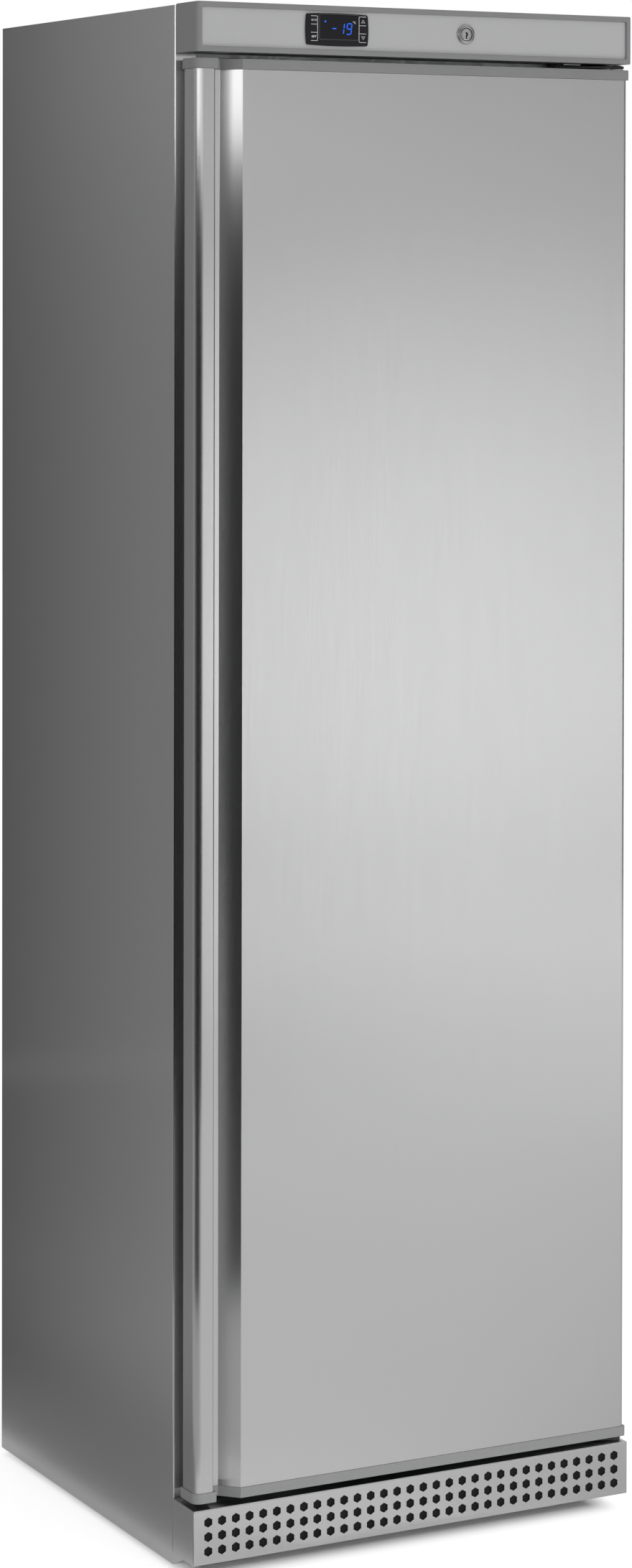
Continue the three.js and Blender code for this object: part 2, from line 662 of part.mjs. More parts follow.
// The fork's origin is the axle's centre.
function rollerFork() {
  const top = ROLLER_RADIUS + FORK_CLEARANCE;
  const outer = FORK_HALF + FORK_SHEET;
  const seat = BASE_TOP + GAP - ROLLER_RADIUS;
  const section = polygon([
    [-outer, -FORK_DROP],
    [-FORK_HALF, -FORK_DROP],
    [-FORK_HALF, top],
    [FORK_HALF, top],
    [FORK_HALF, -FORK_DROP],
    [outer, -FORK_DROP],
    [outer, top + FORK_SHEET],
    [-outer, top + FORK_SHEET],
  ]);
  const tab = [seat, seat + FORK_SHEET];
  return cut(
    join(
      extrudeY(section, both(FORK_REACH)),
      block(both(outer), [ROLLER_RADIUS + 1, FORK_REACH + FORK_TAB], tab),
      block(both(outer), [-FORK_REACH - FORK_TAB, -ROLLER_RADIUS - 1], tab),
    ),
    extrudeX(regular(AXLE_RADIUS + RUNNING_CLEARANCE, 16), both(outer + 1)),
  );
}

function rollerAxle() {
  const headed = AXLE_HALF + AXLE_HEAD[1];
  return join(
    extrudeX(regular(AXLE_RADIUS, 16), both(headed)),
    extrudeX(regular(AXLE_HEAD[0], 16), [-headed, -AXLE_HALF]),
    extrudeX(regular(AXLE_HEAD[0], 16), [AXLE_HALF, headed]),
  );
}

function buildBase(parent) {
  place(parent, "base_plate", basePlate(), "blackPaint");
  place(parent, "kick_grille", kickGrille(), "steel");
  const foot = levellingFoot();
  const fork = rollerFork();
  const axle = rollerAxle();
  const wheel = extrudeX(ring(ROLLER_RADIUS, AXLE_RADIUS + RUNNING_CLEARANCE, 32), both(ROLLER_WIDTH / 2));
  for (const [side, word] of [[-1, "left"], [1, "right"]]) {
    place(parent, `levelling_foot_${word}`, foot, "blackPlastic", [side * FOOT[0], FOOT[1], 0]);
    const corner = groupAt(parent, side * ROLLER[0], ROLLER[1], ROLLER_RADIUS);
    place(corner, `roller_fork_${word}`, fork, "galvanised");
    place(corner, `roller_axle_${word}`, axle, "chrome");
    place(corner, `roller_${word}`, wheel, "nylon");
  }
}

// ---------------------------------------------------------------- fascia, controller and lock
// Inside the fascia's group y runs back from its front face and z up from its underside.

function fasciaFrame() {
  const half = HALF - FASCIA_SIDE_INSET;
  const depth = FASCIA_DEPTH - GAP;
  const plan = new THREE.Shape();
  plan.moveTo(-half, depth);
  plan.lineTo(-half, FASCIA_RADIUS);
  plan.absarc(-half + FASCIA_RADIUS, FASCIA_RADIUS, FASCIA_RADIUS, Math.PI, 1.5 * Math.PI);
  plan.absarc(half - FASCIA_RADIUS, FASCIA_RADIUS, FASCIA_RADIUS, -Math.PI / 2, 0);
  plan.lineTo(half, depth);
  const inside = block(
    both(half - FASCIA_WALL),
    [FASCIA_LIP, FASCIA_DEPTH],
    [FASCIA_WALL, FASCIA_HEIGHT - FASCIA_WALL],
  );
  const opening = block(
    both(half - FASCIA_BORDER),
    [-1, FASCIA_LIP + 1],
    [FASCIA_BORDER, FASCIA_HEIGHT - FASCIA_BORDER],
  );
  const bracketNotch = block(
    [HALF - BRACKET_WIDTH - 2 * HINGE_INSET, HALF - FASCIA_SIDE_INSET - FASCIA_WALL],
    [FASCIA_DEPTH - BRACKET_THICKNESS - 2, FASCIA_DEPTH],
    [-1, FASCIA_WALL + 1],
  );
  const shell = extrudeZ(plan, [0, FASCIA_HEIGHT], 2);
  return cut(shell, inside, opening, bracketNotch, camSlot(CONTROLS_Z, [-1, FASCIA_WALL + 1]));
}

function fasciaInsert() {
  const half = HALF - FASCIA_SIDE_INSET - FASCIA_BORDER + INSERT_MARGIN;
  const edge = FASCIA_BORDER - INSERT_MARGIN;
  const plate = block(
    both(half),
    [FASCIA_LIP + GAP, FASCIA_LIP + GAP + INSERT_THICKNESS],
    [edge, FASCIA_HEIGHT - edge],
  );
  const through = [FASCIA_LIP - 1, FASCIA_LIP + INSERT_THICKNESS + 2];
  const [bodyX, bodyZ] = controllerBody(GAP);
  const lockHole = regular(LOCK_BARREL_RADIUS + RUNNING_CLEARANCE, 24, [LOCK_X, CONTROLS_Z]);
  return cut(
    plate,
    block(bodyX.map((u) => u + CONTROLLER_X), through, bodyZ.map((v) => v + CONTROLS_Z)),
    extrudeY(lockHole, through),
  );
}

function controllerBody(extra) {
  return [
    both(CONTROLLER_WIDTH / 2 - CONTROLLER_BODY_INSET + extra),
    both(CONTROLLER_HEIGHT / 2 - CONTROLLER_BODY_INSET + extra),
  ];
}

// Bezel with bowed edges, body behind the insert, and pockets for the window and the keys.
function controllerHousing() {
  const [w, h, bow] = [CONTROLLER_WIDTH / 2, CONTROLLER_HEIGHT / 2, CONTROLLER_BULGE];
  const face = new THREE.Shape();
  face.moveTo(-w + bow, -h + bow);
  face.quadraticCurveTo(0, -h - bow, w - bow, -h + bow);
  face.quadraticCurveTo(w + bow, 0, w - bow, h - bow);
  face.quadraticCurveTo(0, h + bow, -w + bow, h - bow);
  face.quadraticCurveTo(-w - bow, 0, -w + bow, -h + bow);
  const [bodyX, bodyZ] = controllerBody(0);
  const front = GAP; // just inside the fascia's front plane
  const bezel = extrudeY(face, [front, FASCIA_LIP], 6);
  const body = block(bodyX, [FASCIA_LIP - 1, FASCIA_LIP + CONTROLLER_BODY_DEPTH], bodyZ);
  const pocketWall = WINDOW_THICKNESS + 3 * GAP;
  const windowPocket = block(
    [WINDOW_CENTRE[0] - WINDOW_WIDTH / 2 - GAP, WINDOW_CENTRE[0] + WINDOW_WIDTH / 2 + GAP],
    [front - 1, front + pocketWall],
    [WINDOW_CENTRE[1] - WINDOW_HEIGHT / 2 - GAP, WINDOW_CENTRE[1] + WINDOW_HEIGHT / 2 + GAP],
  );
  const keyDepth = BUTTON_THICKNESS + BUTTON_TRAVEL + GAP;
  const keyPockets = Object.values(BUTTON_CENTRES).map(([u, v]) =>
    block(
      [u - BUTTON_WIDTH / 2 - GAP, u + BUTTON_WIDTH / 2 + GAP],
      [front - 1, keyDepth],
      [v - BUTTON_HEIGHT / 2 - GAP, v + BUTTON_HEIGHT / 2 + GAP],
    ),
  );
  return cut(join(bezel, body), windowPocket, ...keyPockets);
}

function controllerWindow() {
  const front = 2 * GAP;
  return block(
    [WINDOW_CENTRE[0] - WINDOW_WIDTH / 2, WINDOW_CENTRE[0] + WINDOW_WIDTH / 2],
    [front, front + WINDOW_THICKNESS],
    [WINDOW_CENTRE[1] - WINDOW_HEIGHT / 2, WINDOW_CENTRE[1] + WINDOW_HEIGHT / 2],
  );
}

function lockBarrel() {
  const bore = LOCK_PLUG_RADIUS + RUNNING_CLEARANCE;
  const profile = [
    [bore, GAP],
    [LOCK_FACE_RADIUS, GAP],
    [LOCK_FLANGE_RADIUS, FASCIA_LIP],
    [LOCK_BARREL_RADIUS, FASCIA_LIP],
    [LOCK_BARREL_RADIUS, LOCK_LENGTH],
    [bore, LOCK_LENGTH],
    [bore, GAP],
  ];
  return latheY(profile, 32);
}

function lockPlug() {
  const front = GAP + LOCK_PLUG_RECESS;
  const tail = LOCK_LENGTH + 2 * CAM_THICKNESS;
  const keyhole = join(
    extrudeY(regular(KEYHOLE_RADIUS, 16), [front - 1, front + KEYHOLE_DEPTH]),
    block(both(KEYHOLE_SLOT[0] / 2), [front - 1, front + KEYHOLE_DEPTH], [-KEYHOLE_SLOT[1], 0]),
  );
  return cut(
    join(
      extrudeY(regular(LOCK_PLUG_RADIUS, 32), [front, LOCK_LENGTH + GAP]),
      block(both(CAM_TAIL / 2), [LOCK_LENGTH, tail], both(CAM_TAIL / 2)),
    ),
    keyhole,
  );
}

const CAM_FRONT = LOCK_LENGTH + 2 * GAP;

// Unlocked, the cam points to +X; a quarter turn drops it through the fascia into the door's top cap.
function lockCam() {
  const shape = polygon([
    [-CAM_WIDTH / 2, -CAM_WIDTH / 2],
    [CAM_LENGTH, -CAM_WIDTH / 2],
    [CAM_LENGTH, CAM_WIDTH / 2],
    [-CAM_WIDTH / 2, CAM_WIDTH / 2],
  ]);
  const half = CAM_TAIL / 2 + GAP;
  shape.holes.push(polygon([[-half, -half], [-half, half], [half, half], [half, -half]]));
  return extrudeY(shape, [CAM_FRONT, CAM_FRONT + CAM_THICKNESS]);
}

// The slot that the turning cam needs in a plate whose top lies `below` under the lock's axis.
function camSlot(below, zRange) {
  const corner = Math.hypot(CAM_LENGTH, CAM_WIDTH / 2);
  const swing = Math.sqrt(Math.max(corner ** 2 - below ** 2, (CAM_WIDTH / 2) ** 2));
  return block(
    [LOCK_X - CAM_WIDTH / 2 - CAM_SLOT_CLEARANCE, LOCK_X + swing + CAM_SLOT_CLEARANCE],
    [CAM_FRONT - CAM_SLOT_CLEARANCE, CAM_FRONT + CAM_THICKNESS + CAM_SLOT_CLEARANCE],
    zRange,
  );
}

function buildFascia(parent) {
  const fascia = groupAt(parent, 0, FRONT, FASCIA_BOTTOM);
  place(fascia, "fascia_frame", fasciaFrame(), "greyPlastic");
  place(fascia, "fascia_insert", fasciaInsert(), "paleInsert");

  const controller = groupAt(fascia, CONTROLLER_X, 0, CONTROLS_Z);
  place(controller, "controller_housing", controllerHousing(), "blackPlastic");
  place(controller, "controller_window", controllerWindow(), "lens");
  const key = block(both(BUTTON_WIDTH / 2), [0, BUTTON_THICKNESS], both(BUTTON_HEIGHT / 2));
  for (const [name, [u, v]] of Object.entries(BUTTON_CENTRES)) {
    place(controller, name, key, "blackPlastic", [u, 0, v]);
  }

  const lock = groupAt(fascia, LOCK_X, 0, CONTROLS_Z);
  place(lock, "lock_barrel", lockBarrel(), "chrome");
  place(lock, "lock_plug", lockPlug(), "chrome");
  place(lock, "lock_cam", lockCam(), "galvanised");
}

// ---------------------------------------------------------------- door
// Inside the door's group y runs back from its front face and z up from its underside.

const CAP_RIGHT = HALF;
const CAP_LEFT = -HALF + CAP_LEFT_INSET;
const HANDLE_LEFT = CAP_LEFT + HANDLE_INSET;
const HANDLE_RIGHT = HANDLE_LEFT + HANDLE_WIDTH;
const SKIN_LEFT = HANDLE_RIGHT + GAP;
const SKIN_RIGHT = CAP_RIGHT - SKIN_RIGHT_INSET;
const CHANNEL_RIGHT = HANDLE_RIGHT + CHANNEL_FLOOR;
const FACE_LEFT = CHANNEL_RIGHT + CHAMFER_WIDTH;
const SKIN_BACK = DOOR_DEPTH - LINER - GAP;
const BODY_Z = [CAP_HEIGHT + GAP, DOOR_HEIGHT - CAP_HEIGHT - GAP]; // between the end caps

function handleCorner(shape, left, right, front, back, radius, edge) {
  shape.lineTo(right, front + edge);
  shape.absarc(right - edge, front + edge, edge, 0, -Math.PI / 2, true);
  shape.absarc(left + radius, front + radius, radius, 1.5 * Math.PI, Math.PI, true);
  shape.lineTo(left, back);
}

// The caps follow the door's whole outline: face, chamfer, finger channel and handle.
function capOutline() {
  const shape = new THREE.Shape();
  const channelLeft = HANDLE_RIGHT + HANDLE_CAP_OVERHANG;
  shape.moveTo(CAP_RIGHT, DOOR_DEPTH);
  shape.lineTo(CAP_RIGHT, CAP_RADIUS);
  shape.absarc(CAP_RIGHT - CAP_RADIUS, CAP_RADIUS, CAP_RADIUS, 0, -Math.PI / 2, true);
  shape.lineTo(FACE_LEFT, 0);
  shape.lineTo(CHANNEL_RIGHT, CHANNEL_DEPTH);
  shape.lineTo(channelLeft, CHANNEL_DEPTH);
  handleCorner(shape, CAP_LEFT, channelLeft, 0, DOOR_DEPTH, HANDLE_RADIUS + HANDLE_INSET, 1);
  return shape;
}

function endCap(zRange, slot) {
  const boss = regular(BUSH_RADIUS + GAP / 2, 24, [HINGE_X, HINGE_INSET]);
  const tools = [extrudeZ(boss, [zRange[0] - 1, zRange[1] + 1])];
  if (slot) tools.push(slot);
  return cut(extrudeZ(capOutline(), zRange, 3), ...tools);
}

function capSlot() {
  const below = CONTROLS_Z + DOOR_TOP_GAP;
  const slot = camSlot(below, [DOOR_HEIGHT - CAP_HEIGHT - 1, DOOR_HEIGHT + 1]);
  return slot.translate(0, -DOOR_SETBACK, 0);
}

// The folded sheet seen from above, shrunk by an inset; the foam uses the same line.
function skinLine(shape, inset) {
  const right = SKIN_RIGHT - inset;
  const front = SKIN_FRONT_INSET + inset;
  const radius = SKIN_RADIUS - inset;
  const slant = inset * Math.tan(Math.PI / 8);
  shape.lineTo(right, front + radius);
  shape.absarc(right - radius, front + radius, radius, 0, -Math.PI / 2, true);
  shape.lineTo(FACE_LEFT + slant, front);
  shape.lineTo(CHANNEL_RIGHT + slant, CHANNEL_DEPTH + inset);
  shape.lineTo(SKIN_LEFT + inset, CHANNEL_DEPTH + inset);
}

function skinSolid(inset, back, zRange) {
  const shape = new THREE.Shape();
  shape.moveTo(SKIN_RIGHT - inset, back);
  skinLine(shape, inset);
  shape.lineTo(SKIN_LEFT + inset, back);
  return extrudeZ(shape, zRange, 3);
}

function doorSkin() {
  return cut(skinSolid(0, SKIN_BACK, BODY_Z), skinSolid(SHEET, SKIN_BACK + 1, [0, DOOR_HEIGHT]));
}

// The raised panel on the door's inside fits the cavity's mouth with clearance all round.
function plug(offset, yRange) {
  const half = CAVITY_HALF - PLUG_CLEARANCE - offset;
  const low = CAVITY_FLOOR - DOOR_BOTTOM + PLUG_CLEARANCE + offset;
  const high = CAVITY_TOP - DOOR_BOTTOM - PLUG_CLEARANCE - offset;
  return block(both(half), yRange, [low, high]);
}

function doorFoam() {
  const inset = SHEET + GAP;
  const shell = skinSolid(inset, SKIN_BACK, [BODY_Z[0] + GAP, BODY_Z[1] - GAP]);
  return join(shell, plug(LINER + GAP, [SKIN_BACK - 1, DOOR_DEPTH + PLUG_DEPTH - LINER - GAP]));
}

function doorLiner() {
  const sheet = block([SKIN_LEFT, SKIN_RIGHT], [DOOR_DEPTH - LINER, DOOR_DEPTH], BODY_Z);
  const raised = plug(0, [DOOR_DEPTH - LINER, DOOR_DEPTH + PLUG_DEPTH]);
  const hollow = plug(LINER, [0, DOOR_DEPTH + PLUG_DEPTH - LINER]);
  return cut(join(sheet, raised), hollow);
}

function gasketRing(inner, outer, yRange) {
  const low = CAVITY_FLOOR - DOOR_BOTTOM;
  const high = CAVITY_TOP - DOOR_BOTTOM;
  return cut(
    block(both(CAVITY_HALF + outer), yRange, [low - outer, high + outer]),
    block(both(CAVITY_HALF + inner), [yRange[0] - 1, yRange[1] + 1], [low - inner, high + inner]),
  );
}

// A narrow foot on the door and a wide magnetic bulb towards the cabinet.
function doorGasket() {
  const back = DOOR_DEPTH + SEAL_DEPTH - GASKET_CLEARANCE;
  const foot = DOOR_DEPTH + GAP;
  const side = (GASKET_WIDTH - GASKET_FOOT) / 2;
  const inner = GASKET_OVERLAP;
  return join(
    gasketRing(inner + side, inner + side + GASKET_FOOT, [foot, foot + GASKET_FOOT_DEPTH + 1]),
    gasketRing(inner, inner + GASKET_WIDTH, [foot + GASKET_FOOT_DEPTH, back]),
  );
}

function handleSolid(inset, zRange) {
  const shape = new THREE.Shape();
  const [left, right] = [HANDLE_LEFT + inset, HANDLE_RIGHT - inset];
  const [front, back] = [SKIN_FRONT_INSET + inset, SKIN_BACK - inset];
  shape.moveTo(right, back);
  handleCorner(shape, left, right, front, back, HANDLE_RADIUS - inset, HANDLE_EDGE_RADIUS - inset);
  return extrudeZ(shape, zRange, 3);
}

function handleProfile() {
  return cut(handleSolid(0, BODY_Z), handleSolid(HANDLE_WALL, [0, DOOR_HEIGHT]));
}

// A flanged sleeve for the hinge pin. Its origin is the flange's face against the cap; the sleeve runs
// to +Z.
function hingeBush() {
  const bore = PIN_RADIUS + RUNNING_CLEARANCE;
  const profile = [
    [bore, -BUSH_FLANGE],
    [BUSH_FLANGE_RADIUS, -BUSH_FLANGE],
    [BUSH_FLANGE_RADIUS, -GAP],
    [BUSH_RADIUS, -GAP],
    [BUSH_RADIUS, CAP_HEIGHT - GAP],
    [bore, CAP_HEIGHT - GAP],
    [bore, -BUSH_FLANGE],
  ];
  return latheZ(profile, 24);
}

function buildDoor(parent) {
  const door = groupAt(parent, 0, DOOR_FRONT, DOOR_BOTTOM);
  place(door, "door_skin", doorSkin(), "steel");
  place(door, "door_foam", doorFoam(), "foam");
  place(door, "door_liner", doorLiner(), "whitePlastic");
  place(door, "door_gasket", doorGasket(), "seal");
  place(door, "door_cap_top", endCap([DOOR_HEIGHT - CAP_HEIGHT, DOOR_HEIGHT], capSlot()), "greyPlastic");
  place(door, "door_cap_bottom", endCap([0, CAP_HEIGHT]), "greyPlastic");
  place(door, "handle_profile", handleProfile(), "steel");
  const bush = hingeBush();
  place(door, "hinge_bush_bottom", bush, "nylon", [HINGE_X, HINGE_INSET, 0]);
  const upper = place(door, "hinge_bush_top", bush, "nylon", [HINGE_X, HINGE_INSET, DOOR_HEIGHT]);
  upper.rotation.x = Math.PI;
}

// ---------------------------------------------------------------- hinges
// A bracket's origin is the pin's centre on the side of the plate that faces the door; the plate lies
// in -Z.

function hingeBracket() {
  const back = CABINET_FRONT - GAP - HINGE_Y;
  const left = HALF - BRACKET_WIDTH - 2 * BRACKET_NOSE - HINGE_X;
  const plate = new THREE.Shape();
  plate.moveTo(left, back);
  plate.lineTo(left, back - 2 * BRACKET_NOSE);
  plate.absarc(0, 0, BRACKET_NOSE, 1.25 * Math.PI, 2 * Math.PI);
  plate.lineTo(BRACKET_NOSE, back);
  return cut(
    join(
      extrudeZ(plate, [-BRACKET_THICKNESS, 0]),
      block([left, BRACKET_NOSE - FASCIA_WALL], [back - BRACKET_THICKNESS, back], [-BRACKET_FLANGE, 0]),
    ),
    extrudeZ(regular(PIN_RADIUS + GAP / 2, 16), [-BRACKET_THICKNESS - 1, 1]),
  );
}

function hingePin() {
  const foot = -BRACKET_THICKNESS - GAP;
  const tip = BRACKET_DOOR_GAP + CAP_HEIGHT - 1;
  return join(
    extrudeZ(regular(PIN_RADIUS, 16), [foot - PIN_HEAD, tip]),
    extrudeZ(regular(PIN_HEAD_RADIUS, 16), [foot - PIN_HEAD, foot]),
  );
}

function buildHinges(parent) {
  const bracket = hingeBracket();
  const pin = hingePin();
  const lower = groupAt(parent, HINGE_X, HINGE_Y, DOOR_BOTTOM - BRACKET_DOOR_GAP);
  place(lower, "hinge_bracket_bottom", bracket, "galvanised");
  place(lower, "hinge_pin_bottom", pin, "chrome");
  const upper = groupAt(parent, HINGE_X, HINGE_Y, DOOR_TOP + BRACKET_DOOR_GAP);
  upper.scale.z = -1; // the top bracket is the bottom one's mirror image
  place(upper, "hinge_bracket_top", bracket, "galvanised");
  place(upper, "hinge_pin_top", pin, "chrome");
}

// ---------------------------------------------------------------- machine bay

const ROUND_BODY = { corner: 68, seam: 3 };
const COMPRESSOR_X = -HALF + COMPRESSOR.sideInset;
const TERMINAL_COVER_X = COMPRESSOR.width / 2 + ROUND_BODY.seam + GAP; // from the compressor's centre
const COMPRESSOR_BASE = BASE_TOP + GROMMET.height + GAP;
const CONDENSER_LEFT = COMPRESSOR_X + TERMINAL_COVER_X + TERMINAL_COVER.thickness + CONDENSER.gap;
const CONDENSER_RIGHT = HALF - CONDENSER.sideInset;
const CONDENSER_Y = BAY_FRONT + CONDENSER.frontInset;
const CONDENSER_BASE = BASE_TOP + GAP;
const CONDENSER_X = (CONDENSER_LEFT + CONDENSER_RIGHT) / 2;
const FAN_RADIUS = Math.min(CONDENSER_RIGHT - CONDENSER_LEFT, CONDENSER.height) / 2 - FAN.margin;
const FAN_Z = CONDENSER_BASE + CONDENSER.height / 2;
const SHROUD_Y = CONDENSER_Y + CONDENSER.depth + GAP;
const FAN_Y = SHROUD_Y + SHROUD_SHEET + FAN.gap;
const MOTOR_Y = FAN_Y + FAN.depth + GAP;
// Pipe stubs on the compressor's dome, from its centre.
const PORT = { suction: [-30, 30], discharge: [30, 30], rise: 24 };
const PORT_TOP = COMPRESSOR_BASE + COMPRESSOR_FOOT + COMPRESSOR.height + PORT.rise - COMPRESSOR.dome / 2;

function compressorOutline(grow) {
  const { width, depth } = COMPRESSOR;
  return roundedRectangle(both(width / 2 + grow), both(depth / 2 + grow), ROUND_BODY.corner + grow);
}

// Welded can with a seam, a foot plate and two pipe stubs. Its origin is under the middle of the foot
// plate.
function compressor() {
  const { height, dome, width, depth } = COMPRESSOR;
  const options = {
    depth: height - 2 * dome,
    bevelThickness: dome,
    bevelSize: dome,
    bevelOffset: -dome,
    bevelSegments: 3,
    curveSegments: 3,
  };
  const can = new THREE.ExtrudeGeometry(compressorOutline(0), options);
  can.translate(0, 0, dome + COMPRESSOR_FOOT / 2);
  const seam = extrudeZ(compressorOutline(ROUND_BODY.seam), [height / 2, height / 2 + ROUND_BODY.seam], 3);
  const [gx, gy] = GROMMET.spread;
  const [mx, my] = FOOT_PLATE_MARGIN;
  const foot = roundedRectangle(both(width / 2 + mx), both(depth / 2 + my), GROMMET.radius);
  for (const sx of [-1, 1]) {
    for (const sy of [-1, 1]) {
      foot.holes.push(regular(GROMMET.waist, 8, [sx * gx, sy * gy]));
    }
  }
  const stub = (at) => extrudeZ(regular(PIPE_RADIUS + 1, 8, at), [height / 2, PORT_TOP - COMPRESSOR_BASE]);
  return join(can, seam, extrudeZ(foot, [0, COMPRESSOR_FOOT], 2), stub(PORT.suction), stub(PORT.discharge));
}

// A rubber foot with a nose through the foot plate. Its origin is on the base plate.
function grommet() {
  const shoulder = GROMMET.height;
  const waist = GROMMET.waist - 2 * GAP;
  const top = shoulder + COMPRESSOR_FOOT + GROMMET.nose;
  return latheZ(
    [
      [0, GAP],
      [GROMMET.radius, GAP],
      [GROMMET.radius, shoulder],
      [waist, shoulder],
      [waist - GROMMET.nose, top],
      [0, top],
    ],
    12,
  );
}

function terminalCover() {
  const { thickness, width, height } = TERMINAL_COVER;
  const middle = COMPRESSOR.height / 2;
  return block(
    [TERMINAL_COVER_X, TERMINAL_COVER_X + thickness],
    both(width / 2),
    [middle - height / 2, middle + height / 2],
  );
}

// Fin block between two end plates, with hairpin bends on its outer side.
function condenser() {
  const [x0, x1] = [CONDENSER_LEFT, CONDENSER_RIGHT];
  const y = [CONDENSER_Y, CONDENSER_Y + CONDENSER.depth];
  const z = [CONDENSER_BASE, CONDENSER_BASE + CONDENSER.height];
  const pitch = (x1 - x0 - CONDENSER.fin) / (CONDENSER.fins - 1);
  const [core, rise] = [y, z].map(([low, high]) => [low + FIN_EDGE, high - FIN_EDGE]);
  const pieces = [block([x0, x1], core, rise)];
  for (let i = 0; i < CONDENSER.fins; i++) {
    const x = x0 + i * pitch;
    pieces.push(block([x, x + CONDENSER.fin], y, z));
  }
  for (const x of CONDENSER_PORTS) {
    const stub = regular(PIPE_RADIUS + 1, 8, [x, CONDENSER_Y + CONDENSER.depth / 2]);
    pieces.push(extrudeZ(stub, [z[1] - 2 * STUB, z[1] + STUB]));
  }
  const bend = CONDENSER.depth / 4;
  const step = (CONDENSER.height - 2 * HAIRPINS.inset) / (HAIRPINS.count - 1);
  for (let i = 0; i < HAIRPINS.count; i++) {
    const row = z[0] + HAIRPINS.inset + i * step;
    const reach = x1 + bend + PIPE_RADIUS;
    const [near, far] = [y[0] + bend, y[1] - bend];
    const hairpin = [[x1 - 1, near, row], [reach, near, row], [reach, far, row], [x1 - 1, far, row]];
    pieces.push(tube(hairpin, PIPE_RADIUS, bend - BEND_SLACK, { sides: 6, steps: 2 }));
  }
  return join(...pieces);
}

function fanShroud() {
  const [x0, x1] = [CONDENSER_LEFT, CONDENSER_RIGHT];
  const plate = polygon([
    [x0, CONDENSER_BASE],
    [x1, CONDENSER_BASE],
    [x1, CONDENSER_BASE + CONDENSER.height],
    [x0, CONDENSER_BASE + CONDENSER.height],
  ]);
  const mouth = FAN_RADIUS + FAN.tip;
  plate.holes.push(regular(mouth, 32, [CONDENSER_X, FAN_Z]));
  const collarDepth = SHROUD_SHEET + FAN.gap + FAN.depth / 2;
  const collar = extrudeY(ring(mouth + SHROUD_SHEET, mouth, 32), [SHROUD_Y, SHROUD_Y + collarDepth]);
  return join(
    extrudeY(plate, [SHROUD_Y, SHROUD_Y + SHROUD_SHEET]),
    collar.translate(CONDENSER_X, 0, FAN_Z),
  );
}

// Motor can on four arms that reach round the fan to the shroud. Its origin is on the fan's axis, at
// the shroud's face.
function fanMotor() {
  const rear = MOTOR_Y - SHROUD_Y;
  const start = SHROUD_SHEET + GAP;
  const foot = FAN_RADIUS + FAN.tip + SHROUD_SHEET + GAP;
  const strap = [rear + MOTOR.inset, rear + MOTOR.inset + MOTOR.strap];
  const pieces = [extrudeY(regular(MOTOR.radius, 24), [rear, rear + MOTOR.length])];
  for (const angle of [Math.PI / 4, 0.75 * Math.PI, 1.25 * Math.PI, 1.75 * Math.PI]) {
    const bar = block([MOTOR.radius - MOTOR.inset, foot + MOTOR.arm], strap, both(MOTOR.arm / 2));
    const leg = block([foot, foot + MOTOR.arm], [start, strap[1]], both(MOTOR.arm / 2));
    pieces.push(join(bar, leg).rotateY(angle));
  }
  return join(...pieces);
}

// Pitched blades on a hub; the origin is on the axis, at the hub's front.
function fanBlade() {
  const hub = extrudeY(regular(FAN.hub, 20), [0, FAN.depth - GAP]);
  const blades = [];
  for (let i = 0; i < FAN.blades; i++) {
    const blade = new THREE.BoxGeometry(FAN_RADIUS - FAN.hub + FAN.root, BLADE_SHEET, FAN.chord);
    const pitched = blade.rotateX((FAN.pitch * Math.PI) / 180);
    pitched.translate((FAN_RADIUS + FAN.hub - FAN.root) / 2, FAN.depth / 2, 0);
    blades.push(pitched.rotateY((i * 2 * Math.PI) / FAN.blades));
  }
  const sweep = extrudeY(regular(FAN_RADIUS, 32), [0, FAN.depth - GAP]);
  return geometryOf(solidOf(join(hub, ...blades)).intersect(solidOf(sweep)));
}

const PORTS = (name) => [COMPRESSOR_X + PORT[name][0], BAY_MIDDLE + PORT[name][1], PORT_TOP + GAP];
const STUB = 10; // the condenser's pipe stubs stand this high
const CONDENSER_PORTS = [CONDENSER_LEFT + 12, CONDENSER_LEFT + 40]; // liquid out, hot gas in
const PORT_MOUTH = CONDENSER_BASE + CONDENSER.height + STUB + GAP;
const DRIER = {
  x: COMPRESSOR_X + 106,
  length: 90,
  radius: 10,
  taper: 14,
  reach: 24,
  roofInset: 68,
  bend: 10,
};
const DRIER_SLEEVE = 4; // its pipes start this far inside

// From the compressor's stub over to the top of the condenser.
function dischargePipe() {
  const [x, y, z] = PORTS("discharge");
  const inlet = [CONDENSER_PORTS[1], CONDENSER_Y + CONDENSER.depth / 2];
  const over = z + PIPE_RISE.discharge;
  return tube(
    [[x, y, z], [x, y, over], [inlet[0], y, over], [...inlet, over], [...inlet, PORT_MOUTH]],
    PIPE_RADIUS,
    PIPE_BEND,
  );
}

function suctionPipe() {
  const [x, y, z] = PORTS("suction");
  const side = x - SUCTION_OFFSET;
  const over = z + PIPE_RISE.suction;
  const line = [[x, y, z], [x, y, over], [side, y, over], [side, y, BAY_TOP - GAP]];
  return tube(line, PIPE_RADIUS, PIPE_BEND);
}

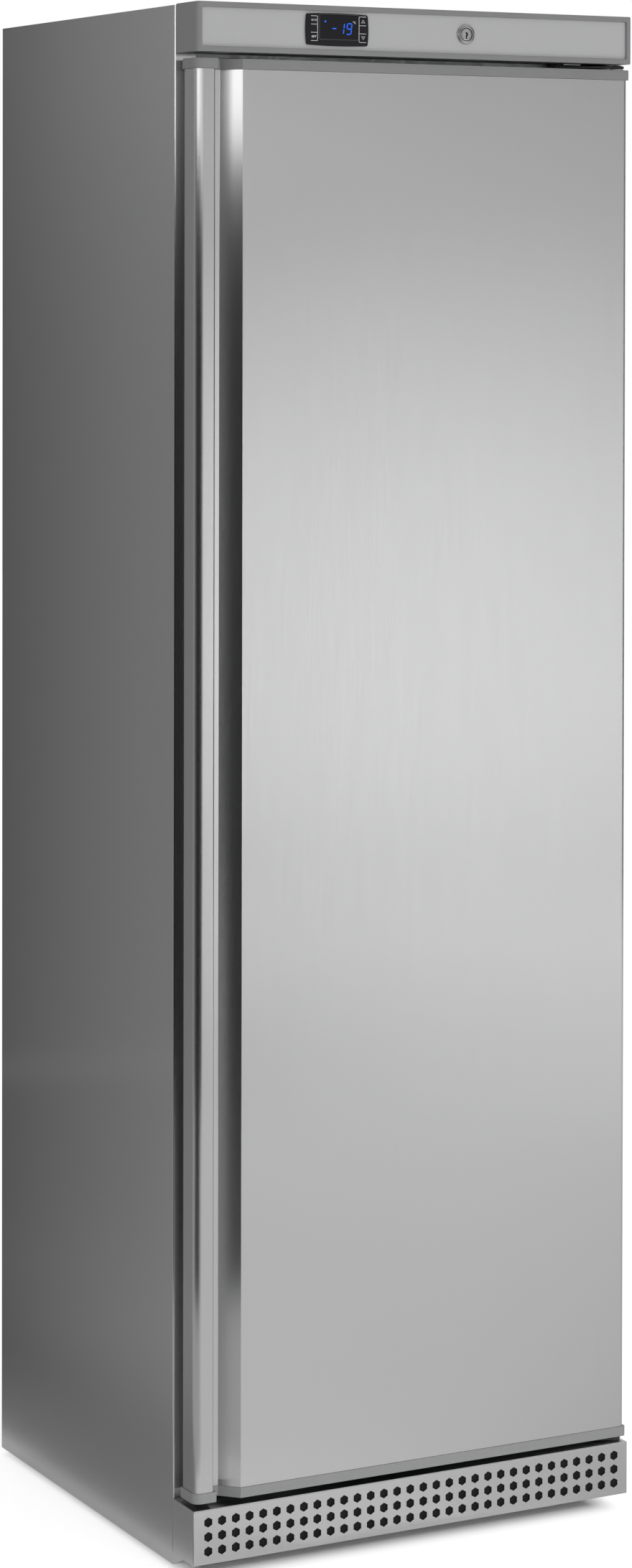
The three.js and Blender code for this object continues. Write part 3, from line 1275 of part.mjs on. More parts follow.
// The drier hangs on its own pipes: one from the condenser, the thin one up through the bay's roof.
function filterDrier() {
  const y = CONDENSER_Y + CONDENSER.depth / 2;
  const top = BAY_TOP - GAP;
  const { x, length, radius, roofInset } = DRIER;
  const z = BAY_TOP - roofInset;
  const body = latheZ(
    [
      [0, -length / 2],
      [PIPE_RADIUS, -length / 2],
      [radius, DRIER.taper - length / 2],
      [radius, length / 2 - DRIER.taper],
      [PIPE_RADIUS, length / 2],
      [0, length / 2],
    ],
    16,
  ).rotateY(Math.PI / 2).translate(x - length, y, z);
  const near = x - length / 2;
  const outlet = CONDENSER_PORTS[0];
  const inward = [[near - DRIER_SLEEVE, y, z], [outlet, y, z], [outlet, y, PORT_MOUTH]];
  const inflow = tube(inward, PIPE_RADIUS, DRIER.bend);
  const far = x - 1.5 * length;
  const riser = far - DRIER.reach;
  const upward = [[far + DRIER_SLEEVE, y, z], [riser, y, z], [riser, y, top]];
  const capillary = tube(upward, PIPE_RADIUS / 2, DRIER.bend, { sides: 6 });
  return join(body, inflow, capillary);
}

const GLAND = {
  x: -HALF + 38,
  y: BACK - 16,
  z: 48,
  bore: 4,
  radius: 8,
  tail: 4,
  flange: 12,
  rim: 3,
  wall: 2,
  nose: 13,
  tab: 14,
};

// Strain-relief bush for the mains lead, through the tab of the base plate. Its origin is on the
// tab's outer face.
function cableGland() {
  const profile = [
    [GLAND.bore, -BASE_SHEET - GLAND.tail],
    [GLAND.radius, -BASE_SHEET - GLAND.tail],
    [GLAND.radius, GAP],
    [GLAND.flange, GAP],
    [GLAND.flange, GLAND.rim],
    [GLAND.bore + GLAND.wall, GLAND.nose],
    [GLAND.bore, GLAND.nose],
    [GLAND.bore, -BASE_SHEET - GLAND.tail],
  ];
  return latheZ(profile, 16).rotateX(-Math.PI / 2);
}

function buildMachineBay(parent) {
  const unit = groupAt(parent, COMPRESSOR_X, BAY_MIDDLE, COMPRESSOR_BASE);
  place(unit, "compressor", compressor(), "blackPaint");
  place(unit, "compressor_terminal_cover", terminalCover(), "blackPlastic");
  const foot = grommet();
  const [gx, gy] = GROMMET.spread;
  [[-1, -1], [1, -1], [-1, 1], [1, 1]].forEach(([sx, sy], i) => {
    const at = [COMPRESSOR_X + sx * gx, BAY_MIDDLE + sy * gy, BASE_TOP];
    place(parent, `compressor_grommet_${i + 1}`, foot, "rubber", at);
  });
  place(parent, "condenser", condenser(), "aluminium");
  place(parent, "fan_shroud", fanShroud(), "galvanised");
  place(parent, "fan_motor", fanMotor(), "blackPaint", [CONDENSER_X, SHROUD_Y, FAN_Z]);
  place(parent, "fan_blade", fanBlade(), "aluminium", [CONDENSER_X, FAN_Y, FAN_Z]);
  place(parent, "discharge_pipe", dischargePipe(), "copper");
  place(parent, "suction_pipe", suctionPipe(), "copper");
  place(parent, "filter_drier", filterDrier(), "copper");
  const gland = [GLAND.x, GLAND.y + BASE_SHEET, GLAND.z];
  place(parent, "mains_cable_gland", cableGland(), "blackPlastic", gland);
}

buildCabinet(freezer);
buildShelves(freezer);
buildBase(freezer);
buildFascia(freezer);
buildDoor(freezer);
buildHinges(freezer);
buildMachineBay(freezer);

export default freezer;
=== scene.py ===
import json
import math

import bmesh
import bpy
from mathutils import Matrix, Vector

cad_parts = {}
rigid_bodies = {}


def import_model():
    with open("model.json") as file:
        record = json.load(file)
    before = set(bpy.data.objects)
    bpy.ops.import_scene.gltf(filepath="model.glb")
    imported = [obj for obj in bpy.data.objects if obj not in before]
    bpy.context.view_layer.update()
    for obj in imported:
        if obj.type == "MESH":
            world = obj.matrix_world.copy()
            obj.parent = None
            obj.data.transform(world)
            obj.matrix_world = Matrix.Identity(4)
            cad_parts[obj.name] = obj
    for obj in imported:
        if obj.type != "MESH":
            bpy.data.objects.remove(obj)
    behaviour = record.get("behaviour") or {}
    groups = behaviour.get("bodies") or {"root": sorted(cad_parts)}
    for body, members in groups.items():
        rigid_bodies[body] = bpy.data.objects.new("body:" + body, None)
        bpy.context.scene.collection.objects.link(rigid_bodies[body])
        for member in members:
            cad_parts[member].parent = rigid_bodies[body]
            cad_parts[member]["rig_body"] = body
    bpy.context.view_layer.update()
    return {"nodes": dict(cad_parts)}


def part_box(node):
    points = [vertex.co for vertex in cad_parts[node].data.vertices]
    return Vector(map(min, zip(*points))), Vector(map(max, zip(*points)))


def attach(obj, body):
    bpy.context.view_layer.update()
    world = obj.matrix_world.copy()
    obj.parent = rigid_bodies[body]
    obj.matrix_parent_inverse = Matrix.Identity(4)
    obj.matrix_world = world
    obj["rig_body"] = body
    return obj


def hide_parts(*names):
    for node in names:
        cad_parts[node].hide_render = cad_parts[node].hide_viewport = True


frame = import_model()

MM = 0.001
NODES = frame["nodes"]
scene = bpy.context.scene


def span(node):
    """A CAD node's box: [(x0, x1), (y0, y1), (z0, z1)]."""
    low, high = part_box(node)
    return [(low[k] / MM, high[k] / MM) for k in range(3)]


def mid(interval):
    return (interval[0] + interval[1]) / 2


def grown(interval, by):
    return interval[0] - by, interval[1] + by


def about(at, half):
    return at - half, at + half


def corners_of(u, v):
    """The corners of the rectangle u by v, in turn."""
    return [(u[0], v[0]), (u[1], v[0]), (u[1], v[1]), (u[0], v[1])]


# ------------------------------------------------------------------ outlines and lines

def arc(at, back, ahead, radius, steps):
    """Points of the arc that rounds the corner `at` between two unit directions."""
    half = back.angle(ahead) / 2
    centre = at + (back + ahead).normalized() * (radius / math.sin(half))
    start = at + back * (radius / math.tan(half)) - centre
    end = at + ahead * (radius / math.tan(half)) - centre
    sweep = math.pi - 2 * half
    points = []
    for k in range(steps + 1):
        turn = sweep * k / steps
        points.append(centre + (start * math.sin(sweep - turn) + end * math.sin(turn)) / math.sin(sweep))
    return points


def bent(corners, radius, steps=6, closed=False):
    """The line through corner points, each corner rounded by `radius`, a number or one for each."""
    line = []
    for i, corner in enumerate(corners):
        r = radius[i] if isinstance(radius, (list, tuple)) else radius
        at = Vector(corner)
        if not r or (not closed and i in (0, len(corners) - 1)):
            line.append(at)
            continue
        back = (Vector(corners[i - 1]) - at).normalized()
        ahead = (Vector(corners[(i + 1) % len(corners)]) - at).normalized()
        line += arc(at, back, ahead, r, steps)
    return line


def rounded(points, steps=5, closed=True):
    """A flat outline through (u, v) or (u, v, radius) corners."""
    flat = [Vector(p[:2]) for p in points]
    return bent(flat, [p[2] if len(p) > 2 else 0 for p in points], steps, closed)


def rectangle(u, v, radius=0.0, steps=5):
    r = [radius] if radius else []
    return rounded([(u[0], v[0], *r), (u[1], v[0], *r), (u[1], v[1], *r), (u[0], v[1], *r)], steps)


def circle(u, v, radius, sides=32, turn=0.0):
    angles = [turn + 2 * math.pi * i / sides for i in range(sides)]
    return [Vector((u + radius * math.cos(a), v + radius * math.sin(a))) for a in angles]


def moved(loop, u, v):
    return [Vector((p[0] + u, p[1] + v)) for p in loop]


def beside(line, distance):
    """An open flat line shifted to its left."""
    out = []
    for i, at in enumerate(line):
        ways = []
        if i:
            ways.append((at - line[i - 1]).normalized())
        if i < len(line) - 1:
            ways.append((line[i + 1] - at).normalized())
        way = sum(ways, Vector((0, 0))).normalized()
        out.append(at + Vector((-way.y, way.x)) * distance / way.dot(ways[0]))
    return out


def folded(corners, thickness, steps=5):
    """The outline of a folded sheet; its outer face follows the corners, with the sheet on their left."""
    line = rounded(corners, steps, closed=False)
    return line + beside(line, thickness)[::-1]


# ------------------------------------------------------------------ solids

PLANES = {  # where a flat drawing's u, v and depth go
    "x": Matrix(((0, 0, 1, 0), (1, 0, 0, 0), (0, 1, 0, 0), (0, 0, 0, 1))),
    "y": Matrix(((1, 0, 0, 0), (0, 0, -1, 0), (0, 1, 0, 0), (0, 0, 0, 1))),
    "z": Matrix.Identity(4),
}
AXES = {  # where a lathe's height goes
    "x": Matrix(((0, 0, 1, 0), (1, 0, 0, 0), (0, 1, 0, 0), (0, 0, 0, 1))),
    "y": Matrix(((1, 0, 0, 0), (0, 0, 1, 0), (0, -1, 0, 0), (0, 0, 0, 1))),
    "z": Matrix.Identity(4),
}
UNIT = {"x": Vector((1, 0, 0)), "y": Vector((0, 1, 0)), "z": Vector((0, 0, 1))}


def from_object(holder):
    mesh = bpy.data.meshes.new_from_object(holder)
    bm = bmesh.new()
    bm.from_mesh(mesh)
    bpy.data.meshes.remove(mesh)
    return bm


def add_line(curve, line, closed):
    spline = curve.splines.new("POLY")
    spline.points.add(len(line) - 1)
    for point, at in zip(spline.points, line):
        point.co = (*(*at, 0)[:3], 1)
    spline.use_cyclic_u = closed


def solid_of(curve):
    """The welded mesh of a curve, which is then removed."""
    holder = bpy.data.objects.new("outline", curve)
    bm = from_object(holder)
    bpy.data.objects.remove(holder)
    bpy.data.curves.remove(curve)
    bmesh.ops.remove_doubles(bm, verts=bm.verts, dist=1e-4)
    return bm


def bridged(bm, rings):
    """Quads between neighbouring rings of equal length."""
    for a, b in zip(rings, rings[1:]):
        for i in range(len(a)):
            j = (i + 1) % len(a)
            bm.faces.new([a[i], a[j], b[j], b[i]])


def prism(loops, ends, axis="z", rim=0.0, steps=2):
    """Closed outlines (the outer one, then holes) drawn across an axis and extruded, with rounded rims."""
    curve = bpy.data.curves.new("outline", "CURVE")
    curve.dimensions = "2D"
    curve.fill_mode = "BOTH"
    curve.extrude = (ends[1] - ends[0]) / 2 - rim
    curve.bevel_depth, curve.offset, curve.bevel_resolution = rim, -rim, steps
    for loop in loops:
        add_line(curve, loop, True)
    bm = solid_of(curve)
    place = Matrix.Translation(UNIT[axis] * mid(ends)) @ PLANES[axis]
    bmesh.ops.transform(bm, matrix=place, verts=bm.verts)
    return bm


def lathe(profile, centre, axis="z", sides=32):
    """A line of (radius, height) points turned round an axis through `centre`."""
    bm = bmesh.new()
    rings = []
    for radius, height in profile:
        count = sides if radius > 1e-6 else 1
        spokes = [2 * math.pi * i / sides for i in range(count)]
        rings.append([bm.verts.new((radius * math.cos(a), radius * math.sin(a), height)) for a in spokes])
    for a, b in zip(rings, rings[1:]):
        for i in range(sides):
            j = (i + 1) % sides
            quad = [a[i % len(a)], a[j % len(a)], b[j % len(b)], b[i % len(b)]]
            quad = list(dict.fromkeys(quad))
            if len(quad) > 2:
                bm.faces.new(quad)
    bmesh.ops.remove_doubles(bm, verts=bm.verts, dist=1e-4)
    bmesh.ops.transform(bm, matrix=Matrix.Translation(Vector(centre)) @ AXES[axis], verts=bm.verts)
    return bm


def tube(line, radius, sides=12, closed=False):
    """A round tube along a line of points."""
    curve = bpy.data.curves.new("line", "CURVE")
    curve.dimensions = "3D"
    curve.bevel_depth, curve.bevel_resolution = radius, max(1, sides // 4 - 1)
    curve.use_fill_caps = not closed
    add_line(curve, line, closed)
    return solid_of(curve)


def block(x, y, z, radius=0.0, steps=3):
    bm = bmesh.new()
    bmesh.ops.create_cube(bm, size=1)
    size = [b - a for a, b in (x, y, z)]
    middle = [(a + b) / 2 for a, b in (x, y, z)]
    place = Matrix.Translation(middle) @ Matrix.Diagonal((*size, 1))
    bmesh.ops.transform(bm, matrix=place, verts=bm.verts)
    if radius:
        bmesh.ops.bevel(bm, geom=bm.edges[:], offset=radius, segments=steps, profile=0.5, affect="EDGES")
    return bm


def around(profile, u, v):
    """A closed (outward offset, y) profile swept round the rectangle u by v in the x-z plane, mitred."""
    bm = bmesh.new()
    rings = []
    for out, y in profile:
        rings.append([bm.verts.new((a, y, b)) for a, b in corners_of(grown(u, out), grown(v, out))])
    bridged(bm, rings + rings[:1])
    return bm


def joined(*parts):
    whole = bmesh.new()
    for part in parts:
        mesh = bpy.data.meshes.new("part")
        part.to_mesh(mesh)
        part.free()
        whole.from_mesh(mesh)
        bpy.data.meshes.remove(mesh)
    return whole


def turned(bm, degrees, axis, centre=(0, 0, 0)):
    place = Matrix.Translation(Vector(centre))
    turn = place @ Matrix.Rotation(math.radians(degrees), 4, UNIT[axis]) @ place.inverted()
    bmesh.ops.transform(bm, matrix=turn, verts=bm.verts)
    return bm


def shifted(bm, x=0, y=0, z=0):
    bmesh.ops.translate(bm, verts=bm.verts, vec=(x, y, z))
    return bm


def holder_of(bm):
    mesh = bpy.data.meshes.new("holder")
    bmesh.ops.recalc_face_normals(bm, faces=bm.faces)
    bm.to_mesh(mesh)
    bm.free()
    holder = bpy.data.objects.new("holder", mesh)
    scene.collection.objects.link(holder)
    return holder


def combined(body, tool, operation):
    """Body and tool as one solid, by a boolean operation."""
    target, other = holder_of(body), holder_of(tool)
    step = target.modifiers.new("step", "BOOLEAN")
    step.operation, step.solver, step.object = operation, "EXACT", other
    bm = from_object(target.evaluated_get(bpy.context.evaluated_depsgraph_get()))
    for holder in (target, other):
        mesh = holder.data
        bpy.data.objects.remove(holder)
        bpy.data.meshes.remove(mesh)
    return bm


def carved(body, *tools):
    for tool in tools:
        body = combined(body, tool, "DIFFERENCE")
    return body


def eased(bm, width, steps=2, limit=30):
    """Sharp edges rounded, after flat triangles are joined."""
    bmesh.ops.remove_doubles(bm, verts=bm.verts, dist=1e-3)
    bmesh.ops.dissolve_limit(bm, angle_limit=math.radians(1), verts=bm.verts, edges=bm.edges)
    sharp = [e for e in bm.edges if len(e.link_faces) == 2 and e.calc_face_angle() > math.radians(limit)]
    bmesh.ops.bevel(bm, geom=sharp, offset=width, segments=steps, profile=0.5, affect="EDGES",
                    clamp_overlap=True)
    return bm


def of_node(node):
    """A CAD node's own mesh, as a bmesh in millimetres."""
    bm = bmesh.new()
    bm.from_mesh(NODES[node].data)
    bmesh.ops.scale(bm, vec=Vector((1 / MM,) * 3), verts=bm.verts)
    bmesh.ops.remove_doubles(bm, verts=bm.verts, dist=1e-3)
    return bm


# ------------------------------------------------------------------ materials

class Material:
    """A Principled material with its node helpers."""

    def __init__(self, name, colour, roughness, metallic=0.0, **sockets):
        self.material = bpy.data.materials.new(name)
        self.material.use_nodes = True
        self.tree = self.material.node_tree
        self.shader = self.tree.nodes["Principled BSDF"]
        self.colour, self.roughness = colour, roughness
        self.set("Base Color", (*colour, 1))
        self.set("Roughness", roughness)
        self.set("Metallic", metallic)
        for socket, value in sockets.items():
            self.set(socket.replace("_", " "), value)
        self.place = None

    def set(self, socket, value):
        self.shader.inputs[socket].default_value = value

    def node(self, kind, **settings):
        made = self.tree.nodes.new(kind)
        for key, value in settings.items():
            setattr(made, key, value)
        return made

    def link(self, source, target):
        self.tree.links.new(source, target)

    def at(self, stretch):
        """Object coordinates in metres, stretched."""
        if self.place is None:
            self.place = self.node("ShaderNodeTexCoord").outputs["Object"]
        mapping = self.node("ShaderNodeMapping")
        mapping.inputs["Scale"].default_value = stretch
        self.link(self.place, mapping.inputs["Vector"])
        return mapping.outputs["Vector"]

    def noise(self, stretch, detail=3.0, rough=0.55):
        made = self.node("ShaderNodeTexNoise")
        made.inputs["Scale"].default_value = 1.0
        made.inputs["Detail"].default_value = detail
        made.inputs["Roughness"].default_value = rough
        self.link(self.at(stretch), made.inputs["Vector"])
        return made.outputs["Fac"]

    def split(self):
        """The object's own X, Y and Z in metres."""
        made = self.node("ShaderNodeSeparateXYZ")
        self.link(self.at((1, 1, 1)), made.inputs[0])
        return made.outputs

    def reckoned(self, operation, *values):
        """A Math node over sockets and numbers."""
        made = self.node("ShaderNodeMath", operation=operation)
        for socket, value in zip(made.inputs, values):
            if isinstance(value, (int, float)):
                socket.default_value = value
            else:
                self.link(value, socket)
        return made.outputs[0]

    def cells(self, scale):
        made = self.node("ShaderNodeTexVoronoi")
        made.inputs["Scale"].default_value = 1.0
        self.link(self.at((scale,) * 3), made.inputs["Vector"])
        return made.outputs["Color"]

    def ranged(self, value, low, high, span_in=(0.3, 0.7)):
        made = self.node("ShaderNodeMapRange")
        made.inputs["From Min"].default_value, made.inputs["From Max"].default_value = span_in
        made.inputs["To Min"].default_value, made.inputs["To Max"].default_value = low, high
        self.link(value, made.inputs["Value"])
        return made.outputs["Result"]

    def mixed(self, share, first, second):
        made = self.node("ShaderNodeMix", data_type="RGBA")
        for socket, value in ((6, first), (7, second)):
            if isinstance(value, tuple):
                made.inputs[socket].default_value = (*value, 1)
            else:
                self.link(value, made.inputs[socket])
        self.link(share, made.inputs[0])
        return made.outputs[2]

    def tint(self, value, spread):
        """The base colour varied by a share each way."""
        dark = tuple(c * (1 - spread) for c in self.colour)
        light = tuple(min(1.0, c * (1 + spread)) for c in self.colour)
        self.link(self.mixed(self.ranged(value, 0, 1), dark, light), self.shader.inputs["Base Color"])
        return self

    def sheen_by(self, value, spread):
        """The roughness varied by an amount each way."""
        made = self.ranged(value, max(0.02, self.roughness - spread), min(1, self.roughness + spread))
        self.link(made, self.shader.inputs["Roughness"])
        return self

    def bump(self, height, distance, strength=1.0):
        made = self.node("ShaderNodeBump")
        made.inputs["Distance"].default_value = distance
        made.inputs["Strength"].default_value = strength
        self.link(height, made.inputs["Height"])
        self.link(made.outputs["Normal"], self.shader.inputs["Normal"])
        return self


def grained_steel(name, colour, roughness, spread=0.02):
    """Sheet with a fine vertical grain, which smears reflections sideways, and faint clouding."""
    made = Material(name, colour, roughness, 1.0, Anisotropic=1.0)
    tangent = made.node("ShaderNodeTangent", direction_type="RADIAL", axis="Z")
    made.link(tangent.outputs[0], made.shader.inputs["Tangent"])
    grain = made.noise((1500, 1500, 14), 3)
    cloud = made.noise((5, 5, 2.2), 2)
    made.tint(made.reckoned("MULTIPLY_ADD", grain, 0.7, made.ranged(cloud, 0.1, 0.2)), spread)
    made.sheen_by(grain, 0.012)
    return made.material


def moulded(name, colour, roughness, spread=0.03, depth=0.00004, **sockets):
    """Plastic with a fine spark-eroded texture."""
    made = Material(name, colour, roughness, 0.0, **sockets)
    fine = made.noise((1400, 1400, 1400), 2)
    made.tint(made.noise((9, 9, 9), 3), spread)
    made.sheen_by(fine, 0.06)
    made.bump(fine, depth, 0.4)
    return made.material


def galvanised(name, colour, roughness, scale=150):
    """Zinc-coated sheet with its spangle."""
    made = Material(name, colour, roughness, 0.85)
    spangle = made.cells(scale)
    grey = made.node("ShaderNodeRGBToBW")
    made.link(spangle, grey.inputs[0])
    made.tint(grey.outputs[0], 0.13)
    made.sheen_by(grey.outputs[0], 0.1)
    made.bump(made.noise((260, 260, 260), 3), 0.00003, 0.3)
    return made.material


def polished(name, colour, roughness, metallic=1.0):
    made = Material(name, colour, roughness, metallic)
    smear = made.noise((60, 60, 60), 3)
    made.tint(smear, 0.04)
    made.sheen_by(smear, 0.04)
    return made.material


def foamed(name, colour):
    made = Material(name, colour, 0.9)
    cell = made.noise((420, 420, 420), 4)
    made.tint(cell, 0.14)
    made.bump(cell, 0.0004, 0.8)
    return made.material


def lit(name, colour, strength):
    made = Material(name, (0.01, 0.01, 0.012), 0.3)
    made.set("Emission Color", (*colour, 1))
    made.set("Emission Strength", strength)
    return made.material


STEEL = grained_steel("steel", (0.60, 0.60, 0.602), 0.25)
HANDLE_STEEL = grained_steel("handle_steel", (0.56, 0.56, 0.562), 0.24)
ZINC = galvanised("galvanised", (0.45, 0.46, 0.465), 0.42)
GREY = moulded("grey_plastic", (0.21, 0.211, 0.213), 0.45)
PALE = moulded("pale_insert", (0.42, 0.421, 0.424), 0.38, 0.015, 0.00002)
WHITE = moulded("white_plastic", (0.80, 0.81, 0.80), 0.32, 0.015, 0.00003)
FOAM = foamed("foam", (0.75, 0.66, 0.38))
# Near-black pad behind the kick grille's holes: painted shade that darkens the holes.
SHADE_PAD = foamed("shade_pad_foam", (0.004, 0.004, 0.004))
BLACK = moulded("black_plastic", (0.012, 0.012, 0.014), 0.42, 0.1, Specular_IOR_Level=0.2)
LENS = Material("display_lens", (0.006, 0.006, 0.008), 0.12, Specular_IOR_Level=0.22)
LENS = LENS.sheen_by(LENS.noise((90, 90, 90)), 0.03).material
RUBBER = moulded("rubber", (0.03, 0.03, 0.031), 0.75, 0.12, 0.00008)
SEAL = moulded("seal", (0.24, 0.241, 0.243), 0.6, 0.05)
CHROME = polished("chrome", (0.62, 0.62, 0.63), 0.16)
SATIN = polished("satin_chrome", (0.50, 0.50, 0.51), 0.36)
ENAMEL = moulded("enamel", (0.74, 0.75, 0.76), 0.34, 0.02, 0.00003)
PAINT = moulded("black_paint", (0.016, 0.016, 0.018), 0.3, 0.15, 0.0001)
ALUMINIUM = galvanised("aluminium", (0.52, 0.54, 0.56), 0.34, 240)
COPPER = polished("copper", (0.56, 0.25, 0.13), 0.28)
NYLON = moulded("nylon", (0.62, 0.62, 0.59), 0.5)
INK = moulded("ink", (0.62, 0.62, 0.63), 0.5)
RIM = moulded("window_rim", (0.09, 0.09, 0.095), 0.4)
DIGIT = lit("digit", (0.005, 0.13, 0.95), 1.0)


# ------------------------------------------------------------------ making pieces

def piece(name, bm, material, body="cabinet", replaces=(), smooth=35):
    """An object of a bmesh in millimetres, which rides on a body and may stand for CAD nodes."""
    bmesh.ops.remove_doubles(bm, verts=bm.verts, dist=1e-4)
    bmesh.ops.recalc_face_normals(bm, faces=bm.faces)
    bmesh.ops.scale(bm, vec=Vector((MM,) * 3), verts=bm.verts)
    mesh = bpy.data.meshes.new(name)
    bm.to_mesh(mesh)
    bm.free()
    mesh.polygons.foreach_set("use_smooth", [True] * len(mesh.polygons))
    mesh.set_sharp_from_angle(angle=math.radians(smooth))
    mesh.materials.append(material)
    made = bpy.data.objects.new(name, mesh)
    scene.collection.objects.link(made)
    weights = made.modifiers.new("weights", "WEIGHTED_NORMAL")
    weights.keep_sharp = True
    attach(made, body)
    if replaces:
        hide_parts(*([replaces] if isinstance(replaces, str) else replaces))
    return made


def rimmed(made, width, segments):
    """A piece's sharp edges rounded by a modifier, ahead of its weighted normals."""
    rims = made.modifiers.new("rims", "BEVEL")
    rims.limit_method, rims.angle_limit = "ANGLE", math.radians(50)
    rims.width, rims.segments = width * MM, segments
    made.modifiers.move(1, 0)


def refined(node, material, width=0.3, steps=2, limit=30):
    """A CAD node's shape with its edges rounded, which stands for the node."""
    return piece(f"{node}_finished", eased(of_node(node), width, steps, limit), material,
                 NODES[node]["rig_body"], node)


def screw(x, y, z, axis="y", towards=-1, radius=3.6):
    """A pan head with a cross recess, standing off a surface along an axis."""
    dome = [(0, 2.0), (radius * 0.45, 1.9), (radius * 0.8, 1.4), (radius, 0.6), (radius, -0.4), (0, -0.4)]
    head = lathe([(r, towards * h) for r, h in dome], (0, 0, 0), "z", 20)
    for turn in (0, 90):
        slot = block((-radius * 0.55, radius * 0.55), (-0.45, 0.45), sorted((towards * 1.1, towards * 3)))
        head = carved(head, turned(slot, turn, "z"))
    place = Matrix.Translation((x, y, z)) @ AXES[axis]
    bmesh.ops.transform(head, matrix=place, verts=head.verts)
    return head


# ------------------------------------------------------------------ cabinet shell

SHEET = 1.0
REAR_FLANGE = 15
(LEFT, FLANGE_END), (CABINET_FRONT, CABINET_BACK), (PANEL_BOTTOM, PANEL_TOP) = span("side_panel_left")
RIGHT = -LEFT


def side_panel(side, node):
    """Folded sheet with a front and a rear return; its bends catch the light."""
    outer, inner = side * RIGHT, side * -FLANGE_END
    corners = [(inner, CABINET_FRONT), (outer, CABINET_FRONT, 2.0), (outer, CABINET_BACK, 2.0),
               (outer - side * REAR_FLANGE, CABINET_BACK)]
    outline = folded(corners, SHEET * side)
    piece(f"{node}_sheet", prism([outline], (PANEL_BOTTOM, PANEL_TOP), rim=0.2), STEEL, replaces=node)


def rivet(u, z, face, towards=1):
    """A domed head on a plane across Y."""
    dome = [(0, 0.9), (1.6, 0.75), (2.6, 0.35), (3.0, -0.2), (0, -0.2)]
    return lathe([(r, towards * h) for r, h in dome], (u, face, z), "y", 16)


def back_panel():
    """Flat sheet with two shallow pressed fields and a row of rivets along each side."""
    x, y, z = span("back_panel")
    middle = mid(z)
    face = y[1] - 0.9  # the rivets' heads stand on it
    fields = []
    for low, high in ((z[0] + 70, middle - 40), (middle + 40, z[1] - 70)):
        ring = rectangle(grown(x, -60), (low, high), 30, 8)
        inner = rectangle(grown(x, -76), (low + 16, high - 16), 20, 8)
        fields.append(prism([ring, inner], (face - 0.35, face + 1), "y"))
    plate = carved(block(x, (y[0] - 0.6, face), z), joined(*fields))
    rivets = []
    rise = (z[1] - z[0] - 60) / 8
    for i in range(9):
        for u in grown(x, -9):
            rivets.append(rivet(u, z[0] + 30 + i * rise, face))
    piece("back_panel_sheet", joined(plate, *rivets), ZINC, replaces="back_panel")


LINER_WALL = 1.5
SHELF_DEPTH = 398
CAVITY_HALF, CAVITY_FLOOR, CAVITY_TOP, CAVITY_BACK = 240, 156.1, 1745.2, 222.5
STEP_FRONT, STEP_TOP = 20.5, 390
SHELF_NODES = [f"evaporator_shelf_{i}" for i in range(1, 6)]


def liner_shell(section, half, front, grow):
    """A closed (y, z) section with soft corners, between two sides with soft rims, open at the front."""
    radius = 16 + grow
    out = [(front, section[0][1] - grow), (section[0][0] + grow, section[0][1] - grow, radius)]
    for y, z in section[1:-1]:
        out.append((y + grow, z - grow, radius))
    out += [(section[-1][0] + grow, section[-1][1] + grow, radius), (front, section[-1][1] + grow)]
    return prism([rounded(out, 6)], (-half - grow, half + grow), "x", radius - 0.5, 5)


def inner_liner():
    """Vacuum-formed liner: soft corners, a front lip and moulded shelf ledges."""
    x, y, z = span("inner_liner")
    section = [(STEP_FRONT, CAVITY_FLOOR), (STEP_FRONT, STEP_TOP),
               (CAVITY_BACK, STEP_TOP), (CAVITY_BACK, CAVITY_TOP)]
    ahead = y[0] - 60
    outer = liner_shell(section, CAVITY_HALF, ahead, LINER_WALL)
    outer = carved(outer, block((-400, 400), (ahead - 60, y[0] + 0.5), (0, 2000)))
    lip = block(x, (y[0], y[0] + LINER_WALL), z, 0.4, 1)
    shell = combined(outer, lip, "UNION")
    shell = eased(carved(shell, liner_shell(section, CAVITY_HALF, ahead, 0)), 1.0, 3, 60)
    parts = [shell]
    for node in SHELF_NODES:
        _, (front, _), (low, _) = span(node)
        top = low + 8.7
        for side in (-1, 1):
            across = sorted((side * (CAVITY_HALF - 8), side * (CAVITY_HALF + 1)))
            parts.append(block(across, (front, front + SHELF_DEPTH), (top - 12, top), 2.5))
    piece("inner_liner_moulding", joined(*parts), WHITE, replaces="inner_liner")
    room = liner_shell(section, CAVITY_HALF, ahead, LINER_WALL + 0.3)
    piece("cabinet_foam_core", carved(of_node("cabinet_foam"), room), FOAM, replaces="cabinet_foam")


